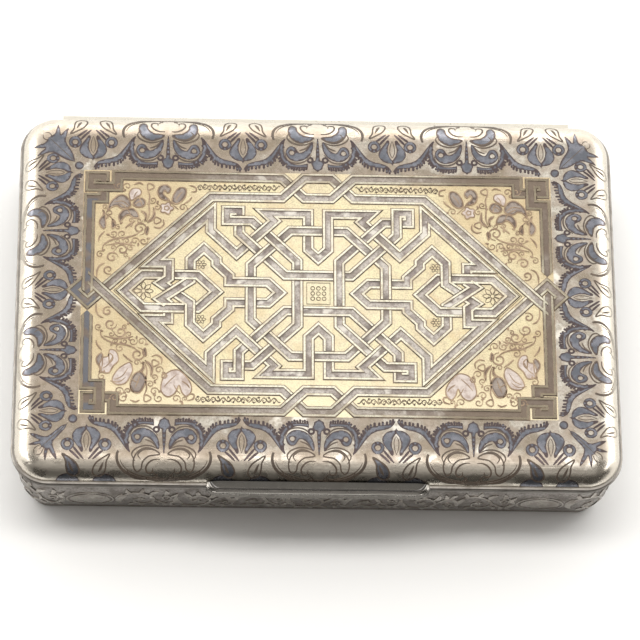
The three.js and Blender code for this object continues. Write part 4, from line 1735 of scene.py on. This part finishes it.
dark_bloom = new_niello("dark_bloom", (0.27, 0.225, 0.2), (0.14, 0.105, 0.085), (0.4, 0.34, 0.29))
bloom_tones = ((0.66, 0.58, 0.53), (0.42, 0.34, 0.3), (0.2, 0.14, 0.1))
chased_tones = ((0.26, 0.185, 0.13), (0.4, 0.3, 0.21), (0.12, 0.08, 0.05))
pale_bloom = new_metal("pale_bloom", *bloom_tones, 0.32, 1.2, 1.0, 0.02)
chased_line = new_metal("chased_line", *chased_tones, 0.4, 1.4, 1.0)
rear_lines = curl_lines(rear_petals + rear_blooms)
front_lines = curl_lines(front_petals + front_blooms)
lay_in_corners("panel_petals", filled(rear_petals), filled(front_petals), 0.0, dark_bloom)
lay_in_corners("panel_blossoms", filled(rear_blooms), filled(front_blooms), 0.01, pale_bloom)
lay_in_corners("panel_curls", rear_lines, front_lines, 0.02, chased_line)

# %% The vine in the strips, the lines inside the hexagon, and the small fillings
VINE_FROM = 17.2
VINE_TO = 29.8
VINE_MIDDLE = 2.65
VINE_SWING = 0.38
VINE_WAVE = 1.5
VINE_STEPS = 60
VINE_CURLS = 16
HEXAGON_CORNER = 20.5  # how far down the hexagon's level corner is
CONTOUR_RUN = 4.4
CONTOUR_INSETS = (1.25, 1.62)
ROSETTE_X = 26.2
SQUARE_HALF = 1.75
vine = []
for step in range(VINE_STEPS + 1):
    x = VINE_FROM + (VINE_TO - VINE_FROM) * step / VINE_STEPS
    vine.append((x, VINE_MIDDLE + VINE_SWING * math.sin(math.tau * x / VINE_WAVE)))
vine_curls, vine_dots = [], []
for step in range(VINE_CURLS):
    x = VINE_FROM + 0.4 + step * VINE_WAVE / 2
    swing = (-1) ** step
    vine_curls.append(spiral((x, VINE_MIDDLE + 0.12 * swing), 0.42, 1.1, 0.6 * step, swing, 10))
    vine_dots.append(fill(from_corner(ring((x, VINE_MIDDLE + 0.42 * swing), 0.16, steps=7)), grid=1.0))
contours = []
for inset in CONTOUR_INSETS:
    tip = PANEL_X - (HEXAGON_REACH - inset * math.sqrt(2))
    contours.append([Vector((tip + CONTOUR_RUN, HEXAGON_CORNER - CONTOUR_RUN)), (tip, HEXAGON_CORNER)])
vine_shapes = chased([vine], 0.16, taper=1.0) + chased(vine_curls, 0.12) + chased(contours, 0.1, taper=1.0)
vine_shapes += chased(whirl((17.9, 15.9), 0.2, 0.8, 6, 0.4), 0.1, closed=True)
rosette = [line(path, 0.11, closed=True) for path in whirl((0, 0), 0.3, 1.5, 8, 0.7)]
square = [[(SQUARE_HALF * x, SQUARE_HALF * y) for x, y in ((-1, -1), (1, -1), (1, 1), (-1, 1))]]
square += [ring((0.85 * column, 0.85 * row), 0.3, steps=8) for row in (-1, 0, 1) for column in (-1, 0, 1)]
square = [line(path, 0.11, closed=True) for path in square]
square_motif = {"square": slab_mesh("square", square, FLOWER_TOP, FLOWER_BOTTOM)}
lay_in_corners("panel_vine", vine_shapes, vine_shapes, -0.02, strap_line, rosette, (-ROSETTE_X, ROSETTE_X))
lay_in_corners("panel_dots", vine_dots, vine_dots, 0.0, dark_bloom)
lay_motifs("panel_square", square_motif, [("square", 0.0, PANEL_MIDDLE, 0.0, 1.0)], strap_line)

# %% [markdown]
# ## Chased foliage round the base
#
# The base's wall carries scrolls of leaves in low relief, raised from behind and sharpened with
# chasing tools from the front. One scroll is drawn flat, and a second tree lays it round the wall
# by arc length, so that it follows the corners and draws in with the foot.

# %% One scroll, with u along the wall and v up from the table
SCROLL_PITCH = 9.4
SCROLL_MIDDLE = 6.9
RELIEF = 0.13
SCROLL_BOTTOM = -0.08
main_stem = [(-4.7, 6.4), (-3.6, 4.7), (-1.9, 4.0), (0.0, 4.6), (1.2, 6.2), (0.9, 8.0), (-0.6, 8.9)]
main_stem += [(-2.0, 8.1), (-2.0, 6.8), (-1.0, 6.3)]
scroll_paths = [
    (smooth(main_stem), 0.42),
    (smooth([(1.1, 6.2), (2.3, 7.9), (3.6, 8.8), (4.7, 8.6)]), 0.36),
    (spiral((3.3, 5.9), 1.1, 1.3, math.radians(100), -1), 0.3),
]
scroll_petals = [
    petal((-3.4, 5.0), (-4.6, 8.6), 1.1, 0.16),
    petal((-2.6, 4.4), (-3.4, 2.6), 0.8, -0.15),
    petal((-1.2, 4.1), (-0.6, 2.3), 0.8, 0.12),
    petal((0.6, 5.0), (2.2, 3.4), 0.9, -0.15),
    petal((1.2, 6.8), (0.4, 5.6), 0.6, 0.2),
    petal((0.9, 8.1), (1.8, 10.2), 0.9, -0.2),
    petal((-0.5, 8.8), (-0.8, 10.6), 0.8, 0.12),
    petal((-1.8, 8.5), (-3.2, 10.1), 0.8, 0.1),
    petal((2.9, 8.3), (2.9, 10.5), 0.8, -0.1),
    petal((3.9, 8.8), (5.0, 10.4), 0.7, 0.1),
    petal((3.8, 8.6), (4.9, 7.2), 0.7, 0.12),
    petal((4.2, 5.4), (5.4, 4.0), 0.7, 0.15),
    petal((3.2, 4.9), (3.3, 2.9), 0.8, 0.15),
    *whirl((-1.0, 6.7), 0.1, 0.75, 5, 0.5),
]
scroll_shapes = [fill(path, grid=0.5) for path in scroll_petals]
scroll_shapes += [line(path, width, taper=0.5) for path, width in scroll_paths]
oval = [line(ring((0.0, SCROLL_MIDDLE), 4.0, 2.6, 30), 0.3, closed=True)]
oval += [fill(ring((0.0, SCROLL_MIDDLE), 3.4, 2.1, 26), grid=0.8)]
for side, rise in ((-1, 2.4), (-1, -2.4), (1, 2.4), (1, -2.4)):
    oval.append(fill(petal((side * 4.4, SCROLL_MIDDLE), (side * 5.6, SCROLL_MIDDLE + rise), 0.8), grid=0.5))

# %% Build the tree that lays scrolls round the wall
foot_values = {
    "Foot Top": FOOT_TOP * MM,
    "Foot Height": (FOOT_TOP - PLATE_TOP) * MM,
    "Foot Draw": FOOT_DRAW_IN * MM,
}
wrapping, given, results = new_group(
    "GeometryNodeTree",
    "Lay scrolls round the base",
    {
        "Stations": "Geometry",
        "Motifs": "Collection",
        "Plan": "Object",
        **dict.fromkeys(foot_values, 0.0),
        "Finish": "Material",
    },
    {"Geometry": "Geometry"},
)
scrolls_made, (x, y, z) = stand_motifs(wrapping, given)
in_place = {"transform_space": "ORIGINAL"}
plan = add_node(wrapping, "GeometryNodeObjectInfo", in_place, {"Object": given["Plan"]})
plan_curve = add_node(wrapping, "GeometryNodeMeshToCurve", {}, {"Mesh": plan.outputs["Geometry"]})
plan_sample = add_node(
    wrapping,
    "GeometryNodeSampleCurve",
    {"mode": "LENGTH", "use_all_curves": True},
    {"Curves": plan_curve.outputs[0], "Length": x},
)
tangent_x, tangent_y, _ = parts_of(plan_sample.outputs["Tangent"])
plan_x, plan_y, _ = parts_of(plan_sample.outputs["Position"])
fallen = maths("MAXIMUM", given["Foot Top"] - y, 0.0) / given["Foot Height"] * math.sin(FOOT_TURN)
foot_turn = maths("ARCSINE", maths("MINIMUM", fallen, 1.0))
drawn = (1.0 - maths("COSINE", foot_turn)) / (1 - math.cos(FOOT_TURN)) * given["Foot Draw"]
stand = z - drawn
wrapped = vector(wrapping, plan_x + tangent_y * stand, plan_y - tangent_x * stand, y)
end_tree(wrapping, scrolls_made, wrapped, given, results)

# %% Lay the foliage
SCROLL_COUNT = 34
OVALS_FROM_MIDDLE = 4
SCROLL_GAP = 0.97  # each scroll's width as a share of its room
plan_points = plan_outline(WALL_INSET)
plan_length = 0
for step, spot in enumerate(plan_points):
    plan_length += (Vector(spot) - Vector(plan_points[step - 1])).length
scroll_step = plan_length / SCROLL_COUNT
# The path starts beside the middle of the rear, so that a scroll lies on the middle line of the
# rear and of the front, with the ovals evenly about it
rear_corner = CORNER_STEPS + 1
plan_start = (scroll_step / 2, plan_points[rear_corner][1])
plan_points = [plan_start, *plan_points[rear_corner:], *plan_points[:rear_corner]]
plan_edges = [(step, (step + 1) % len(plan_points)) for step in range(len(plan_points))]
plan_mesh = bpy.data.meshes.new("wall_plan")
plan_mesh.from_pydata([Vector((x, y, 0)) * MM for x, y in plan_points], plan_edges, [])
wall_plan = bpy.data.objects.new("wall_plan", plan_mesh)
scrolls_down = flipped(scroll_shapes, lambda point: Vector((point[0], 2 * SCROLL_MIDDLE - point[1])))
scroll_motifs = {
    "oval": slab_mesh("oval", oval, RELIEF * 0.7, SCROLL_BOTTOM),
    "scroll_down": slab_mesh("scroll_down", scrolls_down, RELIEF, SCROLL_BOTTOM),
    "scroll_up": slab_mesh("scroll_up", scroll_shapes, RELIEF, SCROLL_BOTTOM),
}
scroll_order = ["scroll_up" if number % 2 else "scroll_down" for number in range(SCROLL_COUNT)]
for middle in (0, SCROLL_COUNT // 2):
    scroll_order[middle - OVALS_FROM_MIDDLE] = "oval"
    scroll_order[middle + OVALS_FROM_MIDDLE] = "oval"
scroll_width = SCROLL_GAP * scroll_step / SCROLL_PITCH
scroll_stations = []
for number, motif in enumerate(scroll_order):
    scroll_stations.append((motif, (number + 0.5) * scroll_step, 0.0, 0.0, scroll_width))
foliage_tones = ((0.44, 0.414, 0.378), (0.234, 0.207, 0.18), BROWN_DIRT)
chased_silver = new_metal("chased_silver", *foliage_tones, 0.26, 2.5, 0.9)
wall_values = {**foot_values, "Plan": wall_plan}
base_foliage = lay("base_foliage", wrapping, wall_values, scroll_motifs, scroll_stations, chased_silver)
bpy.data.objects.remove(wall_plan)
dress(base_foliage, "base")

# %% [markdown]
# ## Floor, light and camera
#
# Silver shows its surroundings more than itself. The room is pale and bright low down behind and
# beside the box, warm grey overhead, and dark towards the photographer, so the flat lid reads as
# a soft grey, its back and side edges shine, and its front edge turns dark.

# %% The camera
CAMERA_AZIMUTH = math.radians(-6.27)
CAMERA_ELEVATION = math.radians(65.7)
CAMERA_ROLL = math.radians(6.57)
CAMERA_DISTANCE = 543.8
CAMERA_AIM = Vector((1.16, 3.72, 0.0))
FOCAL_PIXELS = 3500.0
FRAME_PIXELS = 640.0
SENSOR = 36.0

back = Vector(
    (
        math.sin(CAMERA_AZIMUTH) * math.cos(CAMERA_ELEVATION),
        -math.cos(CAMERA_AZIMUTH) * math.cos(CAMERA_ELEVATION),
        math.sin(CAMERA_ELEVATION),
    )
)
camera_data = bpy.data.cameras.new("camera")
camera_data.lens = FOCAL_PIXELS / FRAME_PIXELS * SENSOR
camera_data.sensor_width = SENSOR
camera_data.clip_start = 0.01
camera = bpy.data.objects.new("camera", camera_data)
level_right = (-back).cross(Vector((0.0, 0.0, 1.0))).normalized()
level_up = level_right.cross(-back)
right = level_right * math.cos(CAMERA_ROLL) + level_up * math.sin(CAMERA_ROLL)
up = level_up * math.cos(CAMERA_ROLL) - level_right * math.sin(CAMERA_ROLL)
turn = Matrix((right, up, back)).transposed().to_4x4()
camera.matrix_world = Matrix.Translation((CAMERA_AIM + back * CAMERA_DISTANCE) * MM) @ turn
scene.collection.objects.link(camera)
scene.camera = camera
print("Camera at", [round(v, 3) for v in camera.location])

# %% The floor
FLOOR_HALF = 600
PAPER = (0.94, 0.94, 0.935)


def stage_card(name, corners, material):
    card = new_piece(name, corners, [(0, 1, 2, 3)], [material])
    return card


def dull_material(name, grain, dark, pale):
    """A rough material whose colour varies a little. grain: the noise's scale and detail."""
    material = new_material(name)
    spot = spot_on(material.node_tree)
    set_shader(material, mix_colour(noise(spot, *grain), dark, pale), 0.9)
    return material


white_floor = dull_material("white_floor", (30.0, 2.0), (0.93, 0.925, 0.91), (0.96, 0.957, 0.95))
# The photographer's paper is a brighter white to the camera than to the metal
seen_floor = add_node(white_floor.node_tree, "ShaderNodeLightPath").outputs["Is Camera Ray"]
tinted(white_floor, seen_floor, PAPER)
floor_corners = [(FLOOR_HALF * x, FLOOR_HALF * y, 0) for x, y in ((-1, -1), (1, -1), (1, 1), (-1, 1))]
stage_card("floor", floor_corners, white_floor)

# %% The room
world = bpy.data.worlds.new("room")
scene.world = world
world.use_nodes = True
room = world.node_tree
room.nodes.clear()
direction = add_node(room, "ShaderNodeTexCoord").outputs["Generated"]
_, backwards, rise = parts_of(direction)
horizon = mix_colour(remap(rise, 0.2, 0.62), (2.2, 2.17, 2.1), (1.2, 1.19, 1.16))
room_colour = mix_colour(remap(backwards * -1.0, -0.02, 0.26), horizon, (0.24, 0.225, 0.21))
surroundings = add_node(room, "ShaderNodeBackground", {}, {"Color": room_colour, "Strength": 1.0})
seen = add_node(room, "ShaderNodeBackground", {}, {"Color": (1.0, 1.0, 1.0), "Strength": 1.0})
is_camera = add_node(room, "ShaderNodeLightPath").outputs["Is Camera Ray"]
shaders = {0: is_camera, 1: surroundings.outputs[0], 2: seen.outputs[0]}
room_shader = add_node(room, "ShaderNodeMixShader", {}, shaders)
add_node(room, "ShaderNodeOutputWorld", {}, {"Surface": room_shader.outputs[0]})


# %% The lamps
def soft_lamp(name, spot, aim, size, watts, colour=(1.0, 0.98, 0.95)):
    data = bpy.data.lights.new(name, "AREA")
    data.shape = "RECTANGLE"
    data.size, data.size_y = size[0] * MM, size[1] * MM
    data.energy = watts
    data.color = colour
    lamp = bpy.data.objects.new(name, data)
    lamp.location = Vector(spot) * MM
    lamp.rotation_mode = "QUATERNION"
    lamp.rotation_quaternion = (Vector(spot) - Vector(aim)).to_track_quat("Z", "Y")
    scene.collection.objects.link(lamp)
    return lamp


# Soft panels: the way each one leans from overhead, by how much, its depth and how bright it is.
# The first lights the table from just behind the box. The others are seen by the metal alone.
PANEL_AWAY = 900
PANEL_WIDTH = 1040
for name, way, lean, depth, glow in (
    ("window", (0, 1), 7, 220, 6.4),
    ("panel_top", (0, -1), 4, 300, 0.7),
    ("panel_high", (0, -1), 21, 230, 2.7),
    ("panel_middle", (0, -1), 35, 210, 0.66),
    ("panel_low", (0, -1), 53, 360, 0.2),
    ("panel_rear", (0, 1), 62, 500, 1.9),
    ("panel_left", (-1, 0), 78, 400, 3.0),
    ("panel_right", (1, 0), 80, 380, 2.4),
):
    slope = math.radians(lean)
    away = PANEL_AWAY * math.sin(slope)
    spot = (way[0] * away, way[1] * away, PANEL_AWAY * math.cos(slope))
    area = PANEL_WIDTH * depth * MM * MM
    lamp = soft_lamp(name, spot, (0, 0, 10), (PANEL_WIDTH, depth), glow * math.pi * area)
    lamp.visible_diffuse = name == "window"
    lamp.visible_glossy = name != "window"

# %% A dark flag in front
FLAG_AWAY = 50
FLAG_HALF = 260
FLAG_LOW = 0.5
FLAG_HIGH = 24
black_card = dull_material("black_card", (40.0,), (0.03, 0.028, 0.026), (0.05, 0.046, 0.042))
flag_spots = ((-1, FLAG_LOW), (-1, FLAG_HIGH), (1, FLAG_HIGH), (1, FLAG_LOW))
flag = stage_card("flag", [(side * FLAG_HALF, -FLAG_AWAY, z) for side, z in flag_spots], black_card)
flag.visible_camera = False
flag.visible_diffuse = False
flag.visible_shadow = False
